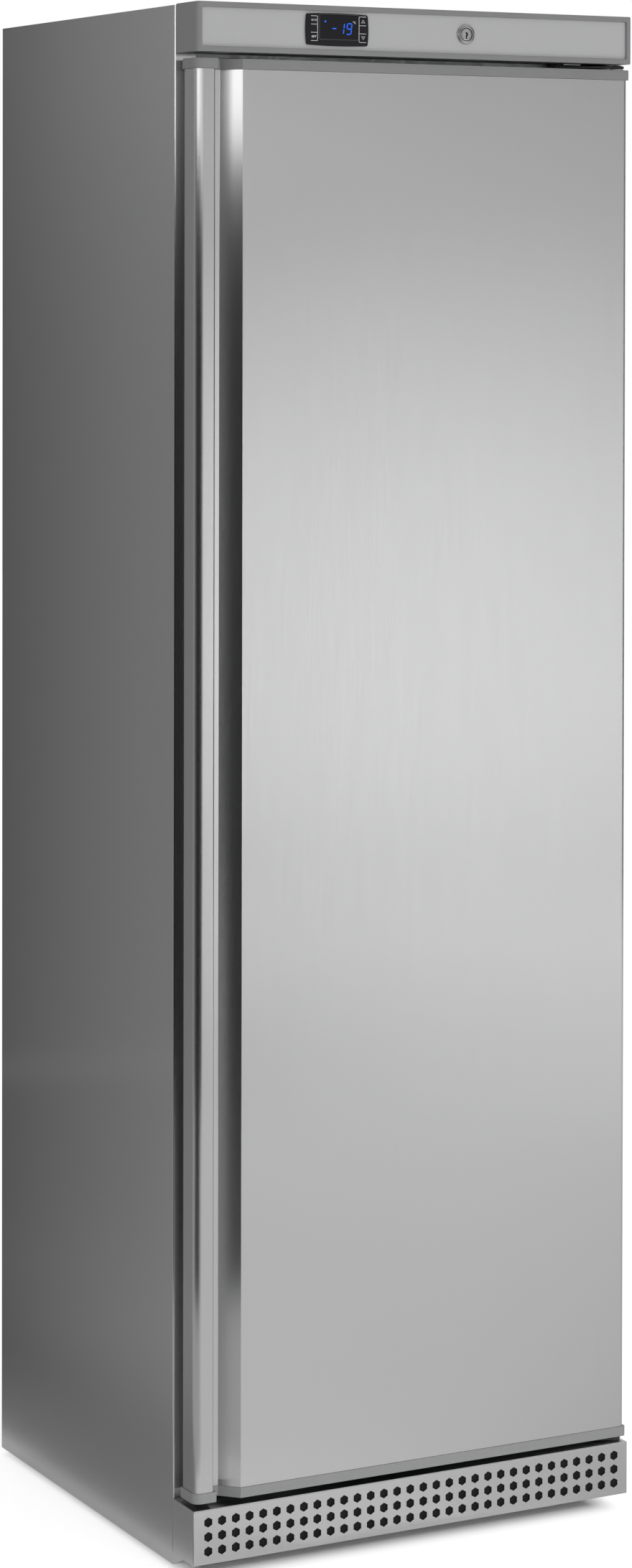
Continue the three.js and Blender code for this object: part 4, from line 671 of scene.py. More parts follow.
def evaporator_shelves():
    """Wire shelf on a serpentine refrigerant tube, five alike."""
    x, y, z = span("evaporator_shelf_1")
    deck = z[1]  # top of the wires
    front, back = y[0], y[0] + SHELF_DEPTH
    half = x[1]
    frame_r, wire_r, tube_r = 1.9, 1.1, 4.0
    level = deck - frame_r - 0.4
    rim = [(*corner, level) for corner in corners_of((2 - half, half - 2), (front + 2, back - 2))]
    parts = [tube(bent(rim, 14, 5, closed=True), frame_r, closed=True)]
    bars, wires = 7, 19
    for i in range(bars):
        v = front + (back - front) * (i + 1) / (bars + 1)
        parts.append(tube([(-half + 3, v, level), (half - 3, v, level)], frame_r - 0.4, 8))
    for i in range(wires):
        u = -half + 2 * half * (i + 0.5) / wires
        parts.append(tube([(u, front + 3, deck - wire_r), (u, back - 3, deck - wire_r)], wire_r, 8))
    passes, reach = 6, CAVITY_HALF - 45
    pitch = 2 * reach / (passes - 1)
    line = []
    for i in range(passes):
        u = -reach + i * pitch
        ends = [back - tube_r, front + tube_r]
        if i == 0:
            ends[0] = CAVITY_BACK - 0.3
        if i % 2:
            ends.reverse()
        if i == passes - 1:
            ends[1] = CAVITY_BACK - 0.3
        line += [(u, v, z[0] + tube_r) for v in ends]
    parts.append(tube(bent(line, pitch / 2 - 0.01, 7), tube_r))
    for i in range(passes):
        u = -reach + i * pitch
        for v in (front + 60, back - 60):
            parts.append(block((u - 1, u + 1), (v - 5, v + 5), (z[0] + 6, level), 0.3, 1))
    whole = joined(*parts)
    for i, node in enumerate(SHELF_NODES):
        rise = span(node)[2][0] - z[0]
        piece(f"{node}_wired", shifted(whole.copy(), z=rise), ENAMEL, replaces=node)
    whole.free()


def cabinet():
    side_panel(-1, "side_panel_left")
    side_panel(1, "side_panel_right")
    refined("top_panel", ZINC, 0.3)
    x, y, z = span("top_panel")
    heads = [screw(u, v, z[1] - 1.6, "z", 1) for u in grown(x, -14) for v in (y[0] + 20, 0, y[1] - 20)]
    piece("top_panel_screws", joined(*heads), CHROME)
    back_panel()
    refined("machine_bay_panel", ZINC, 0.3)
    inner_liner()
    evaporator_shelves()


# ------------------------------------------------------------------ base, kick grille, feet, rollers

GRILLE_SHEET, GRILLE_LOW, GRILLE_TAB = 1.2, 21.4, 28
HOLE = {"rows": 3, "flats": 10.4, "pitch": (18.1, 17.2), "columns": 32}


def kick_grille():
    """Folded sheet: holed face, top ledge and two cheeks; the sheet's thickness shows in each hole."""
    x, y, z = span("kick_grille")
    bend, t = 1.6, GRILLE_SHEET
    wide = grown(x, 5)
    outer = block(x, (y[0], y[1] + 20), (z[0] - 20, z[1]), bend, 4)
    inner = block(grown(x, -t), (y[0] + t, y[1] + 40), (z[0] - 40, z[1] - t), bend - t + 0.3, 2)
    below = prism([rounded([(y[0] - 5, 0), (y[1] + 40, 0), (y[1] + 40, z[0]), (y[1], z[0]),
                            (y[0] + GRILLE_TAB, GRILLE_LOW), (y[0] - 5, GRILLE_LOW)])], wide, "x")
    under = block(wide, (y[0] - 5, y[1] + 40), (-60, z[0]))
    behind = block(wide, (y[1], y[1] + 60), (-60, z[1] + 5))
    holes = []
    middle = (GRILLE_LOW + z[1]) / 2
    for column in range(HOLE["columns"]):
        for row in range(HOLE["rows"]):
            u = (column - (HOLE["columns"] - 1) / 2) * HOLE["pitch"][0]
            w = middle + (row - (HOLE["rows"] - 1) / 2) * HOLE["pitch"][1]
            hexagon = circle(u, w, HOLE["flats"] / math.sqrt(3), 6, math.pi / 6)
            holes.append(prism([hexagon], (y[0] - 5, y[0] + 5), "y"))
    sheet = carved(outer, inner, under, below, behind, joined(*holes))
    rimmed(piece("kick_grille_sheet", sheet, STEEL, replaces="kick_grille"), 0.22, 2)
    # A near-black pad behind the holes makes them read dark: painted shade for the shadow inside the base.
    pad = block(grown(x, -5), (y[0] + 2.4, y[0] + 8), (GRILLE_LOW + 3, z[1] - 5), 1.2, 3)
    piece("kick_grille_shade_pad", pad, SHADE_PAD)


def levelling_foot(word):
    node = f"levelling_foot_{word}"
    x, y, _ = span(node)
    u, v = mid(x), mid(y)
    pad = lathe([(0, 0), (16.5, 0), (17.7, 0.5), (18, 1.6), (17.2, 4), (14, 5), (9, 5.4), (0, 5.4)],
                (u, v, 0), "z", 40)
    grip = prism([circle(u, v, 12, 6)], (5, 16.2), rim=0.8)
    thread = [(0, 15)]
    for i in range(24):
        thread += [(4.9, 15.4 + i * 1.45), (4.3, 16.1 + i * 1.45)]
    thread += [(4.3, 50.2), (0, 50.2)]
    piece(f"{node}_moulding", joined(pad, grip, lathe(thread, (u, v, 0), "z", 20)), BLACK,
          f"foot_{word}", node)


def roller(word):
    node = f"roller_{word}"
    x, y, z = span(node)
    centre = (mid(x), mid(y), mid(z))
    wide = (x[1] - x[0]) / 2
    side = [(4.3, wide - 1), (8, wide - 1), (9, wide - 3), (15, wide - 3), (16, wide - 0.6), (17.5, wide),
            (19.2, wide - 0.6), (20, wide - 2.2)]
    profile = side + [(r, -h) for r, h in reversed(side)] + side[:1]
    wheel = lathe(profile, centre, "x", 48)
    piece(f"{node}_wheel", wheel, NYLON, f"wheel_{word}", node)


def base():
    # The base plate's black paint also stands in for the shade behind the grille's holes: partly painted
    # shade.
    refined("base_plate", PAINT, 0.3)
    kick_grille()
    for word in ("left", "right"):
        levelling_foot(word)
        roller(word)
        refined(f"roller_fork_{word}", ZINC, 0.3)
        refined(f"roller_axle_{word}", CHROME, 0.6, 3, 45)


# ------------------------------------------------------------------ fascia, controller and lock

FASCIA_X, (FASCIA_FRONT, FASCIA_BACK), (FASCIA_LOW, FASCIA_TOP) = span("fascia_frame")
INSERT_FRONT = span("fascia_insert")[1][0]
CONTROLLER_X, CONTROLLER_Z = -113.2, 1831.5
LOCK_X, LOCK_Z = 63.9, 1831.5
KEYS = {  # node: body
    "button_defrost": "key_defrost", "button_set": "key_set",
    "button_up": "key_up", "button_down": "key_down",
}
KEY_LINES = (16.0, 5.9, -3.9, -14.0)  # heights of the printed lines between the keys
PRINT = 0.05  # how far the printed lines and marks stand over a face


CAM_SLOT_Y = (-264, -256.5)  # front and back of the slot that the lock's cam drops through


def fascia_frame():
    """Grey moulding with rounded corners, hollow behind, and a softened border round the insert."""
    plan = rounded([(FASCIA_X[0], FASCIA_BACK), (FASCIA_X[0], FASCIA_FRONT, 5),
                    (FASCIA_X[1], FASCIA_FRONT, 2.5), (FASCIA_X[1], FASCIA_BACK)], 8)
    tall = (FASCIA_LOW, FASCIA_TOP)
    shell = prism([plan], tall, rim=1.2, steps=3)
    wall, border = 2.5, 6.5
    inside = block(grown(FASCIA_X, -wall), (FASCIA_FRONT + 3, FASCIA_BACK + 2), grown(tall, -wall))
    window = prism([rectangle(grown(FASCIA_X, -border), grown(tall, -border), 1.2, 4)],
                   (FASCIA_FRONT - 2, FASCIA_FRONT + 5), "y")
    notch = block((200, 295), (-237, FASCIA_BACK + 2), (FASCIA_LOW - 2, FASCIA_LOW + 4))
    cam_x = span("lock_cam")[0]
    slot = block((cam_x[0] - 2, cam_x[1] - 2), CAM_SLOT_Y, (FASCIA_LOW - 2, FASCIA_LOW + 4))
    whole = carved(shell, inside, window, notch, slot)
    rimmed(piece("fascia_frame_moulding", whole, GREY, replaces="fascia_frame"), 0.9, 3)


def bowed(width, height, bow, radius):
    """The controller's bezel: four bowed edges with rounded corners."""
    w, h = width / 2, height / 2
    corners = corners_of(about(0, w - bow), about(0, h - bow))
    middles = [(0, -h), (w, 0), (0, h), (-w, 0)]
    points = []
    for i in range(4):
        a, m, b = Vector(corners[i]), Vector(middles[i]), Vector(corners[(i + 1) % 4])
        pull = 2 * m - (a + b) / 2
        points.append((*a, radius))
        for k in range(1, 10):
            t = k / 10
            points.append(tuple(a * (1 - t) ** 2 + 2 * pull * t * (1 - t) + b * t * t))
    return rounded(points, 5)


def controller():
    """Bezel with its window, keys in pockets, and light printed lines and symbols."""
    x, y, _ = span("controller_housing")
    front = y[0]
    bezel = prism([moved(bowed(x[1] - x[0] + 2.4, 39.2, 1.2, 2.2), CONTROLLER_X, CONTROLLER_Z)],
                  (front, INSERT_FRONT), "y", 0.9, 3)
    body = block(grown(x, -4), (INSERT_FRONT - 1, y[1]), about(CONTROLLER_Z, 15.6), 0.6)
    wx, wy, wz = span("controller_window")
    pockets = [prism([rectangle(grown(wx, 0.3), grown(wz, 0.3), 1.5)], (front - 1, wy[1] + 0.1), "y")]
    for node in KEYS:
        kx, ky, kz = span(node)
        pocket = rectangle(grown(kx, 0.25), grown(kz, 0.25), 1.6)
        pockets.append(prism([pocket], (front - 1, ky[1] + 0.9), "y"))
    piece("controller_bezel", carved(bezel, joined(*pockets)), BLACK, replaces="controller_housing")
    piece("controller_body", body, BLACK)
    pane = prism([rectangle(wx, wz, 1.4)], wy, "y", 0.25)
    piece("controller_pane", pane, LENS, replaces="controller_window")

    line, depth = 0.55, about(front, PRINT)
    printed = []
    low, high = (CONTROLLER_Z + KEY_LINES[k] for k in (3, 0))
    for inner, outer in ((-26.4, -35.6), (29.4, 38.6)):  # the keys' inner and outer ends
        u, reach = CONTROLLER_X + inner, CONTROLLER_X + outer
        path = [(reach, low), (u, low, 1.2), (u, high, 1.2), (reach, high)]
        printed.append(prism([folded(path, line)], depth, "y"))
        for height in KEY_LINES[1:3]:
            printed.append(block(sorted((u, reach)), depth, about(CONTROLLER_Z + height, line / 2)))
    piece("controller_lines", joined(*printed), INK)
    frame_line = [rectangle(grown(wx, 0.9), grown(wz, 0.9), 2.0),
                  rectangle(grown(wx, 0.45), grown(wz, 0.45), 1.6)]
    piece("controller_window_rim", prism(frame_line, depth, "y"), RIM)

    for node, key_body in KEYS.items():
        kx, ky, kz = span(node)
        cap = prism([rectangle(kx, kz, 1.4)], (ky[0] + 2 * PRINT, ky[1]), "y", 0.35)
        piece(f"{node}_cap", cap, BLACK, key_body, node)
    key_symbols()
    display()


def outlined(points, width):
    """A closed line of some width round a convex shape."""
    centre = sum((Vector(p) for p in points), Vector((0, 0))) / len(points)
    radius = min((Vector(p) - centre).length for p in points)
    inner = [centre + (Vector(p) - centre) * (1 - width / radius) for p in points]
    return [[Vector(p) for p in points], inner]


def letters(text, size, u, v, stretch=1.0):
    """Flat lettering centred on a point, drawn in the x-z plane."""
    curve = bpy.data.curves.new("letters", "FONT")
    curve.body, curve.size = text, size
    curve.align_x, curve.align_y = "CENTER", "CENTER"
    curve.extrude = PRINT
    curve.offset = 0.06
    holder = bpy.data.objects.new("letters", curve)
    bm = from_object(holder)
    bpy.data.objects.remove(holder)
    bpy.data.curves.remove(curve)
    place = Matrix.Translation((u, 0, v)) @ PLANES["y"] @ Matrix.Diagonal((stretch, 1, 1, 1))
    bmesh.ops.transform(bm, matrix=place, verts=bm.verts)
    return bm


def key_symbols():
    for node, sign in (("button_up", 1), ("button_down", -1)):
        kx, ky, kz = span(node)
        u, v = sum(kx) / 2, sum(kz) / 2 - sign * 0.2
        triangle = [(u - 2.7, v - sign * 1.7), (u + 2.7, v - sign * 1.7), (u, v + sign * 2.1)]
        mark = prism(outlined(triangle, 0.75), (ky[0] + PRINT, ky[0] + 3 * PRINT), "y")
        piece(f"{node}_mark", mark, INK, KEYS[node])
    kx, ky, kz = span("button_set")
    word = shifted(letters("SET", 3.4, sum(kx) / 2, sum(kz) / 2, 1.3), y=ky[0] + 2 * PRINT)
    piece("button_set_mark", word, INK, KEYS["button_set"])
    kx, ky, kz = span("button_defrost")
    u, v = sum(kx) / 2, sum(kz) / 2
    face = (ky[0] + PRINT, ky[0] + 3 * PRINT)
    sun = prism([circle(u, v, 0.75, 20), circle(u, v, 0.42, 20)], face, "y")
    rays = [turned(block((u - 0.12, u + 0.12), face, (v + 0.95, v + 1.35)), 60 * i, "y", (u, 0, v))
            for i in range(6)]
    bars = [block(about(u + s * 2.6, 0.9), face, about(v + h, 0.22)) for s in (-1, 1) for h in (-0.9, 0, 0.9)]
    piece("button_defrost_mark", joined(sun, *rays, *bars), INK, KEYS["button_defrost"])


SEGMENTS = {"1": "bc", "9": "abcdfg"}
DIGIT_WIDTH, DIGIT_HEIGHT, DIGIT_LINE, DIGIT_SLANT = 7.4, 14.0, 1.35, 0.12
DASH = (5.2, 1.3)  # width, height


def digit_segments(character, u, v):
    """Seven-segment bars of one character, leaning a little to the right."""
    w, h, t = DIGIT_WIDTH / 2, DIGIT_HEIGHT / 2, DIGIT_LINE / 2
    gap = 0.25
    level = {"a": h - t, "g": 0, "d": -h + t}
    bars = []
    for name in SEGMENTS[character]:
        if name in level:
            c = level[name]
            reach = w - t - gap
            shape = [(-reach, c), (-reach + t, c - t), (reach - t, c - t), (reach, c),
                     (reach - t, c + t), (-reach + t, c + t)]
        else:
            c = w - t if name in "bc" else -w + t
            low, high = (gap, h - t - gap) if name in "bf" else (-h + t + gap, -gap)
            shape = [(c, low), (c + t, low + t), (c + t, high - t), (c, high),
                     (c - t, high - t), (c - t, low + t)]
        bars.append([Vector((u + a + b * DIGIT_SLANT, v + b)) for a, b in shape])
    return bars


def display():
    _, wy, _ = span("controller_window")
    face = about(wy[0], PRINT)
    u, v = CONTROLLER_X, CONTROLLER_Z
    row = v + 1.4
    bars = [prism([rectangle(about(u - 4.1, DASH[0] / 2), about(row, DASH[1] / 2))], face, "y")]
    for character, x in (("1", 5.8), ("9", 15.9)):
        bars += [prism([loop], face, "y") for loop in digit_segments(character, u + x, row)]
    lamp = prism([circle(u - 16.1, v + 9.5, 1.2, 20)], face, "y")
    piece("display_digits", joined(*bars, lamp), DIGIT)
    ring = prism([circle(u + 21.6, v + 10.0, 0.7, 16), circle(u + 21.6, v + 10.0, 0.3, 16)], face, "y")
    unit = shifted(letters("C", 3.6, u + 23.7, v + 9.0), y=wy[0])
    piece("display_unit", joined(ring, unit), INK)


def lock():
    """Chrome barrel with a stepped flange, and the plug with its keyhole."""
    front = span("lock_barrel")[1][0]
    profile = [(8.1, 26.7), (8.1, 0.5), (8.3, 0.15), (8.7, 0), (9.3, 0), (9.7, 0.25), (9.9, 0.9), (10.3, 1.0),
               (10.6, 0.6), (11.0, 0.45), (11.5, 0.7), (11.9, 1.3), (12, 2.0), (12, 2.7), (9, 2.7), (9, 26.7),
               (8.1, 26.7)]
    barrel = lathe(profile, (LOCK_X, front, LOCK_Z), "y", 64)
    piece("lock_barrel_turned", barrel, SATIN, replaces="lock_barrel")
    plug_y = span("lock_plug")[1]
    face = plug_y[0]
    disc = [(0, 0), (7.0, 0), (7.35, 0.12), (7.55, 0.5), (7.55, 26), (0, 26)]
    plug = lathe(disc, (LOCK_X, face, LOCK_Z), "y", 64)
    tail = block(about(LOCK_X, 3), (face + 25, plug_y[1]), about(LOCK_Z, 3), 0.4)
    deep = (face - 2, face + 8)
    bore = prism([circle(LOCK_X, LOCK_Z, 2.5, 24)], deep, "y")
    slot = prism([rectangle(about(LOCK_X, 0.9), (LOCK_Z - 5.4, LOCK_Z), 0.4)], deep, "y")
    rings = [circle(LOCK_X, LOCK_Z, radius, 48) for radius in (6.4, 5.9)]
    groove = prism(rings, (face - 1, face + 0.4), "y")
    piece("lock_plug_turned", joined(carved(plug, bore, slot, groove), tail), SATIN, "lock", "lock_plug")
    core = lathe([(0, 0), (1.9, 0), (1.9, 0.8), (0, 1.2)], (LOCK_X, face + 3.2, LOCK_Z), "y", 24)
    piece("lock_core", core, CHROME, "lock")
    refined("lock_cam", ZINC, 0.4)


def fascia():
    fascia_frame()
    refined("fascia_insert", PALE, 0.2)
    controller()
    lock()


# ------------------------------------------------------------------ door

SKIN_X, (SKIN_FRONT, SKIN_BACK), (SKIN_LOW, SKIN_TOP) = span("door_skin")
HINGE_X, HINGE_Y = 288, -272.5  # the hinge's axis
CHAMFER_IN, CHAMFER_OUT = -256.5, -236.2  # the chamfer's ends: channel floor, door face
CHANNEL_FLOOR = -263.5
CAP_X, (CAP_FRONT, CAP_BACK), _ = span("door_cap_top")
CAP_CHANNEL = -268.0  # the caps' handle part ends here


def door_skin():
    """Folded brushed sheet: right side, face, chamfer and finger channel, with tight bright bends."""
    corners = [(SKIN_X[1], SKIN_BACK), (SKIN_X[1], SKIN_FRONT, 5.5), (CHAMFER_OUT, SKIN_FRONT, 1.3),
               (CHAMFER_IN, CHANNEL_FLOOR, 1.3), (SKIN_X[0], CHANNEL_FLOOR, 1.3), (SKIN_X[0], SKIN_BACK)]
    line = rounded(corners, 7, closed=False)
    outline = line + beside(line, -SHEET)[::-1]
    piece("door_skin_sheet", prism([outline], (SKIN_LOW, SKIN_TOP)), STEEL, "door", "door_skin")


def handle():
    """Full-height tube with a wide outer radius."""
    x, y, z = span("handle_profile")
    outer = [(x[1], y[1], 1.5), (x[0], y[1], 1.5), (x[0], y[0], 9), (x[1], y[0], 3)]
    t = 1.2
    inner = [(x[1] - t, y[1] - t, 0.5), (x[0] + t, y[1] - t, 0.5), (x[0] + t, y[0] + t, 8),
             (x[1] - t, y[0] + t, 2)]
    loops = [rounded(outer, 9), rounded(inner, 9)]
    piece("handle_profile_tube", prism(loops, z), HANDLE_STEEL, "door", "handle_profile")


def door_caps():
    """End caps along the door's whole outline; the handle part stands a little proud."""
    outline = rounded([
        (CAP_X[1], CAP_BACK), (CAP_X[1], CAP_FRONT, 5), (CHAMFER_OUT, CAP_FRONT, 2),
        (CHAMFER_IN, CHANNEL_FLOOR, 1.5), (CAP_CHANNEL, CHANNEL_FLOOR, 0.8), (CAP_CHANNEL, CAP_FRONT, 1.2),
        (CAP_X[0], CAP_FRONT, 10.5), (CAP_X[0], CAP_BACK)], 8)
    hinge = circle(HINGE_X, HINGE_Y, 7.2, 28)
    for node in ("door_cap_top", "door_cap_bottom"):
        low, high = span(node)[2]
        cap = prism([outline, hinge], (low, high), rim=0.7, steps=3)
        if node == "door_cap_top":
            cam_x = span("lock_cam")[0]
            cap = carved(cap, block((cam_x[0] - 2, cam_x[1] - 12), CAM_SLOT_Y, (low - 2, high + 2)))
        piece(f"{node}_moulding", cap, GREY, "door", node)
    refined("hinge_bush_top", NYLON, 0.3, 2, 40)
    refined("hinge_bush_bottom", NYLON, 0.3, 2, 40)


def door_liner():
    """Vacuum-formed inner door: a raised field with drafted sides and a sunk panel."""
    x, y, z = span("door_liner")
    face = y[0] + LINER_WALL
    raised = y[1]
    half = 228
    low, high = CAVITY_FLOOR + 12, CAVITY_TOP - 12
    steps = [  # inset from the field's foot, y
        (0, face), (5, raised), (38, raised), (44, raised - 7), (70, raised - 7),
    ]
    bm = bmesh.new()
    rings = [(corners_of(x, z), face)]
    for inset, level in steps:
        rings.append((corners_of((inset - half, half - inset), (low + inset, high - inset)), level))
    loops = [[bm.verts.new((u, level, v)) for u, v in ring] for ring, level in rings]
    bridged(bm, loops)
    bm.faces.new(loops[-1])
    bm.normal_update()
    soft = [e for e in bm.edges if len(e.link_faces) == 2 and e.calc_face_angle() > 0.3]
    bmesh.ops.bevel(bm, geom=soft, offset=3.2, segments=4, profile=0.5, affect="EDGES")
    bmesh.ops.recalc_face_normals(bm, faces=bm.faces)
    if max(bm.faces, key=lambda f: f.calc_area()).normal.y < 0:
        bmesh.ops.reverse_faces(bm, faces=bm.faces)
    bmesh.ops.solidify(bm, geom=bm.faces[:], thickness=LINER_WALL)
    piece("door_liner_moulding", bm, WHITE, "door", "door_liner")
    room = block((-half + 34, half - 34), (raised - 7 - 2 * LINER_WALL, raised), (low + 34, high - 34), 3)
    rim = around([(0, y[0] + 0.3), (12, y[0] + 0.3), (12, raised), (0, raised)], (-half + 8, half - 8),
                 (low + 8, high - 8))
    piece("door_foam_core", carved(of_node("door_foam"), room, rim), FOAM, "door", "door_foam")


def gasket():
    """Magnetic seal: foot, bellows with two pleats and the flat magnet pocket, mitred at the corners."""
    x, y, z = span("door_gasket")
    depth, wide = y[1] - y[0], 16
    half = [(12.8, 0), (12.8, 1.6), (10.2, 2.4), (11.8, 4.2), (13.4, 5.2), (11.4, 6.6), (13.6, 8.0),
            (15.2, 8.8), (16, 10), (16, depth - 1), (15, depth)]
    profile = half + [(wide - out, at) for out, at in reversed(half)]
    bm = around([(out, y[0] + at) for out, at in profile], grown(x, -wide), grown(z, -wide))
    piece("door_gasket_seal", bm, SEAL, "door", "door_gasket", 50)


def door():
    door_skin()
    handle()
    door_caps()
    door_liner()
    gasket()


def hinges():
    for word, out in (("top", 1), ("bottom", -1)):
        # The brackets' black paint also stands in for the shade in the gap under the fascia: partly painted
        # shade.
        refined(f"hinge_bracket_{word}", PAINT, 0.5)
        refined(f"hinge_pin_{word}", CHROME, 0.35, 2, 45)
        x, y, z = span(f"hinge_bracket_{word}")
        heads = [screw(u, y[1] - 3.6, mid(z), "y", -1, 4.2) for u in (x[0] + 14, x[0] + 42)]
        piece(f"hinge_screws_{word}", joined(*heads), CHROME)
        plate = z[0] if out > 0 else z[1]  # the side that faces the door
        rings = [(4.35, 0), (7.4, 0.15), (7.6, 0.5), (7.4, 0.85), (5.6, 1.0), (6.4, 1.2), (6.4, 1.6),
                 (4.35, 1.7), (4.35, 0)]
        washer = lathe([(r, -out * h) for r, h in rings], (HINGE_X, HINGE_Y, plate), "z", 36)
        bmesh.ops.recalc_face_normals(washer, faces=washer.faces)
        piece(f"hinge_washer_{word}", washer, CHROME)
    x, y, z = span("hinge_bracket_top")
    strip = block((x[0] + 2, x[0] + 27), (y[0] + 14, y[1] - 4), (z[0] + 3.1, FASCIA_LOW - 0.4), 0.4)
    piece("hinge_shim", strip, ZINC)


# ------------------------------------------------------------------ machine bay

PORT_Y, DISCHARGE_X, SUCTION_X = 215, -96, -156  # the compressor's ports


def loft(rings):
    """A closed solid through flat outlines of equal length at given heights."""
    bm = bmesh.new()
    loops = [[bm.verts.new((*p, height)) for p in outline] for outline, height in rings]
    bridged(bm, loops)
    bm.faces.new(loops[0])
    bm.faces.new(loops[-1])
    return bm


def compressor():
    """Two pressed halves welded at a rim, on a foot plate, with two pipe stubs and a badge."""
    x, y, z = span("compressor")
    cx, cy = mid(x), mid(y)
    half_x, half_y, corner, dome = 100, 75, 68, 36
    low, high = z[0] + 1.5, z[0] + 173.5
    rings = []
    for end, way in ((low, 1), (high, -1)):
        for k in range(9):
            a = math.pi / 2 * k / 8
            inset = dome * (1 - math.sin(a))
            bend = corner - inset * 0.9
            outline = rectangle(about(cx, half_x - inset), about(cy, half_y - inset), bend, 12)
            rings.append((outline, end + way * dome * (1 - math.cos(a))))
    can = loft(sorted(rings, key=lambda ring: ring[1]))
    seam = prism([rectangle(about(cx, half_x + 2.8), about(cy, half_y + 2.8), 70, 12)],
                 (z[0] + 86, z[0] + 90), rim=1.2)
    holes = [circle(cx + sx * 85, cy + sy * 55, 7, 20) for sx in (-1, 1) for sy in (-1, 1)]
    foot = prism([rectangle((cx - 103.5, cx + 103.5), (cy - 69.5, cy + 69.5), 10)] + holes,
                 (z[0], z[0] + 3), rim=0.5)
    parts = [can, seam, foot]
    for dx in (-30, 30):
        parts.append(lathe([(4.1, z[0] + 86), (4.1, z[1] - 0.4), (3.6, z[1]), (0, z[1])],
                           (cx + dx, PORT_Y, 0), "z", 20))
        parts.append(lathe([(8, high - 9), (6, high - 4), (4.3, high - 1)], (cx + dx, PORT_Y, 0), "z", 20))
    badge = prism([rectangle((cx - 34, cx + 34), (cy - 30, cy + 16), 5)], (high - 0.6, high + 0.6), rim=0.4)
    parts.append(badge)
    piece("compressor_can", joined(*parts), PAINT, replaces="compressor")


def terminal_cover():
    x, y, z = span("compressor_terminal_cover")
    body = eased(block(x, y, z), 3, 4)
    ribs = [block((x[1] - 1.2, x[1] + 0.6), (y[0] + 8 + i * 8, y[0] + 10.5 + i * 8), grown(z, -14))
            for i in range(6)]
    clip = block((x[0] + 4, x[0] + 12), grown(y, 0.2), (z[1] - 9, z[1] - 5), 0.2, 1)
    piece("compressor_terminal_cover_moulding", joined(carved(body, joined(*ribs)), clip), BLACK,
          replaces="compressor_terminal_cover")


def grommet(i):
    node = f"compressor_grommet_{i}"
    x, y, z = span(node)
    profile = [(0, z[0]), (9.4, z[0]), (10, z[0] + 0.6), (10, z[0] + 3), (8.9, z[0] + 4.4), (8.9, z[0] + 6.2),
               (10, z[0] + 7.6), (10, z[1] - 4.8), (9.6, z[1] - 4.2), (6.2, z[1] - 4.2), (6.2, z[1] - 1.4),
               (5.2, z[1]), (2.4, z[1]), (2.4, z[1] - 3), (0, z[1] - 3)]
    piece(f"{node}_turned", lathe(profile, (mid(x), mid(y), 0), "z", 32), RUBBER, replaces=node)


CONDENSER_FINS, CONDENSER_ROWS = 74, 8


def condenser():
    """Thin fins between two flanged end plates, on rows of copper hairpins."""
    x, y, z = span("condenser")
    z_top = z[0] + 200
    right = span("fan_shroud")[0][1]
    left = x[0] + 11
    plates = [block((u, u + 1.2), y, (z[0], z_top), 0.3, 1) for u in (left, right - 1.2)]
    for u in (left, right - 1.2):
        for v in ((y[0], y[0] + 1.2), (y[1] - 1.2, y[1])):
            way = (u - 9, u + 1) if u == left else (u + 0.2, u + 9)
            plates.append(block(way, v, (z[0], z_top), 0.3, 1))
    fins = []
    pitch = (right - left) / (CONDENSER_FINS + 1)
    for i in range(1, CONDENSER_FINS + 1):
        u = left + pitch * i
        fins.append(block((u, u + 0.35), grown(y, -3), (z[0] + 5, z_top - 5)))
    piece("condenser_fins", joined(*fins), ALUMINIUM)
    piece("condenser_plates", joined(*plates), ZINC, replaces="condenser")
    near, far = y[0] + 11, y[1] - 11
    rise = (z_top - z[0] - 40) / (CONDENSER_ROWS - 1)
    bends = []
    reach = x[1] - 3.3
    for i in range(CONDENSER_ROWS):
        row = z[0] + 20 + i * rise
        line = [(left - 0.5, near, row), (reach, near, row), (reach, far, row), (left - 0.5, far, row)]
        bends.append(tube(bent(line, 10.9, 8), 3.2, 16))
        if i < CONDENSER_ROWS - 1:
            v = far if i % 2 else near
            u = left - 7
            side = [(left + 2, v, row), (u, v, row), (u, v, row + rise), (left + 2, v, row + rise)]
            bends.append(tube(bent(side, 6.5, 6), 3.2, 16))
    for port in (x[0] + 12, x[0] + 40):
        middle = mid(y)
        bends.append(tube([(port, middle, z_top - 12), (port, middle, z[1])], 4.1, 16))
    piece("condenser_tubes", joined(*bends), COPPER)


FAN_HUB, FAN_BLADES, FAN_CHORD = 20, 5, 40


def fan_shroud():
    """Plate with folded sides and a rounded inlet ring."""
    x, y, z = span("fan_shroud")
    cx, cz = mid(x), mid(z)
    mouth = 89
    t = 1.5
    plate = prism([rectangle(x, z, 2), circle(cx, cz, mouth + 5, 64)], (y[0], y[0] + t), "y", 0.3)
    ring = [(mouth + 6, y[0]), (mouth + 3.2, y[0] + 0.3), (mouth + 1, y[0] + 1.8), (mouth + 0.1, y[0] + 4.5),
            (mouth, y[1] - 0.6), (mouth + 0.7, y[1]), (mouth + 1.5, y[1] - 0.6), (mouth + 1.6, y[0] + 5),
            (mouth + 2.4, y[0] + 2.8), (mouth + 4, y[0] + 1.6), (mouth + 6, y[0] + t), (mouth + 6, y[0])]
    collar = lathe(ring, (cx, 0, cz), "y", 64)
    flanges = [block((u, u + t), (y[0] + 0.4, y[0] + 13), grown(z, -3), 0.5, 2) for u in (x[0], x[1] - t)]
    heads = [screw(cx + sx * 108, y[0] + t, cz + sz * 84, "y", 1, 3) for sx in (-1, 1) for sz in (-1, 1)]
    piece("fan_shroud_sheet", joined(plate, collar, *flanges), ZINC, replaces="fan_shroud")
    piece("fan_shroud_screws", joined(*heads), CHROME)


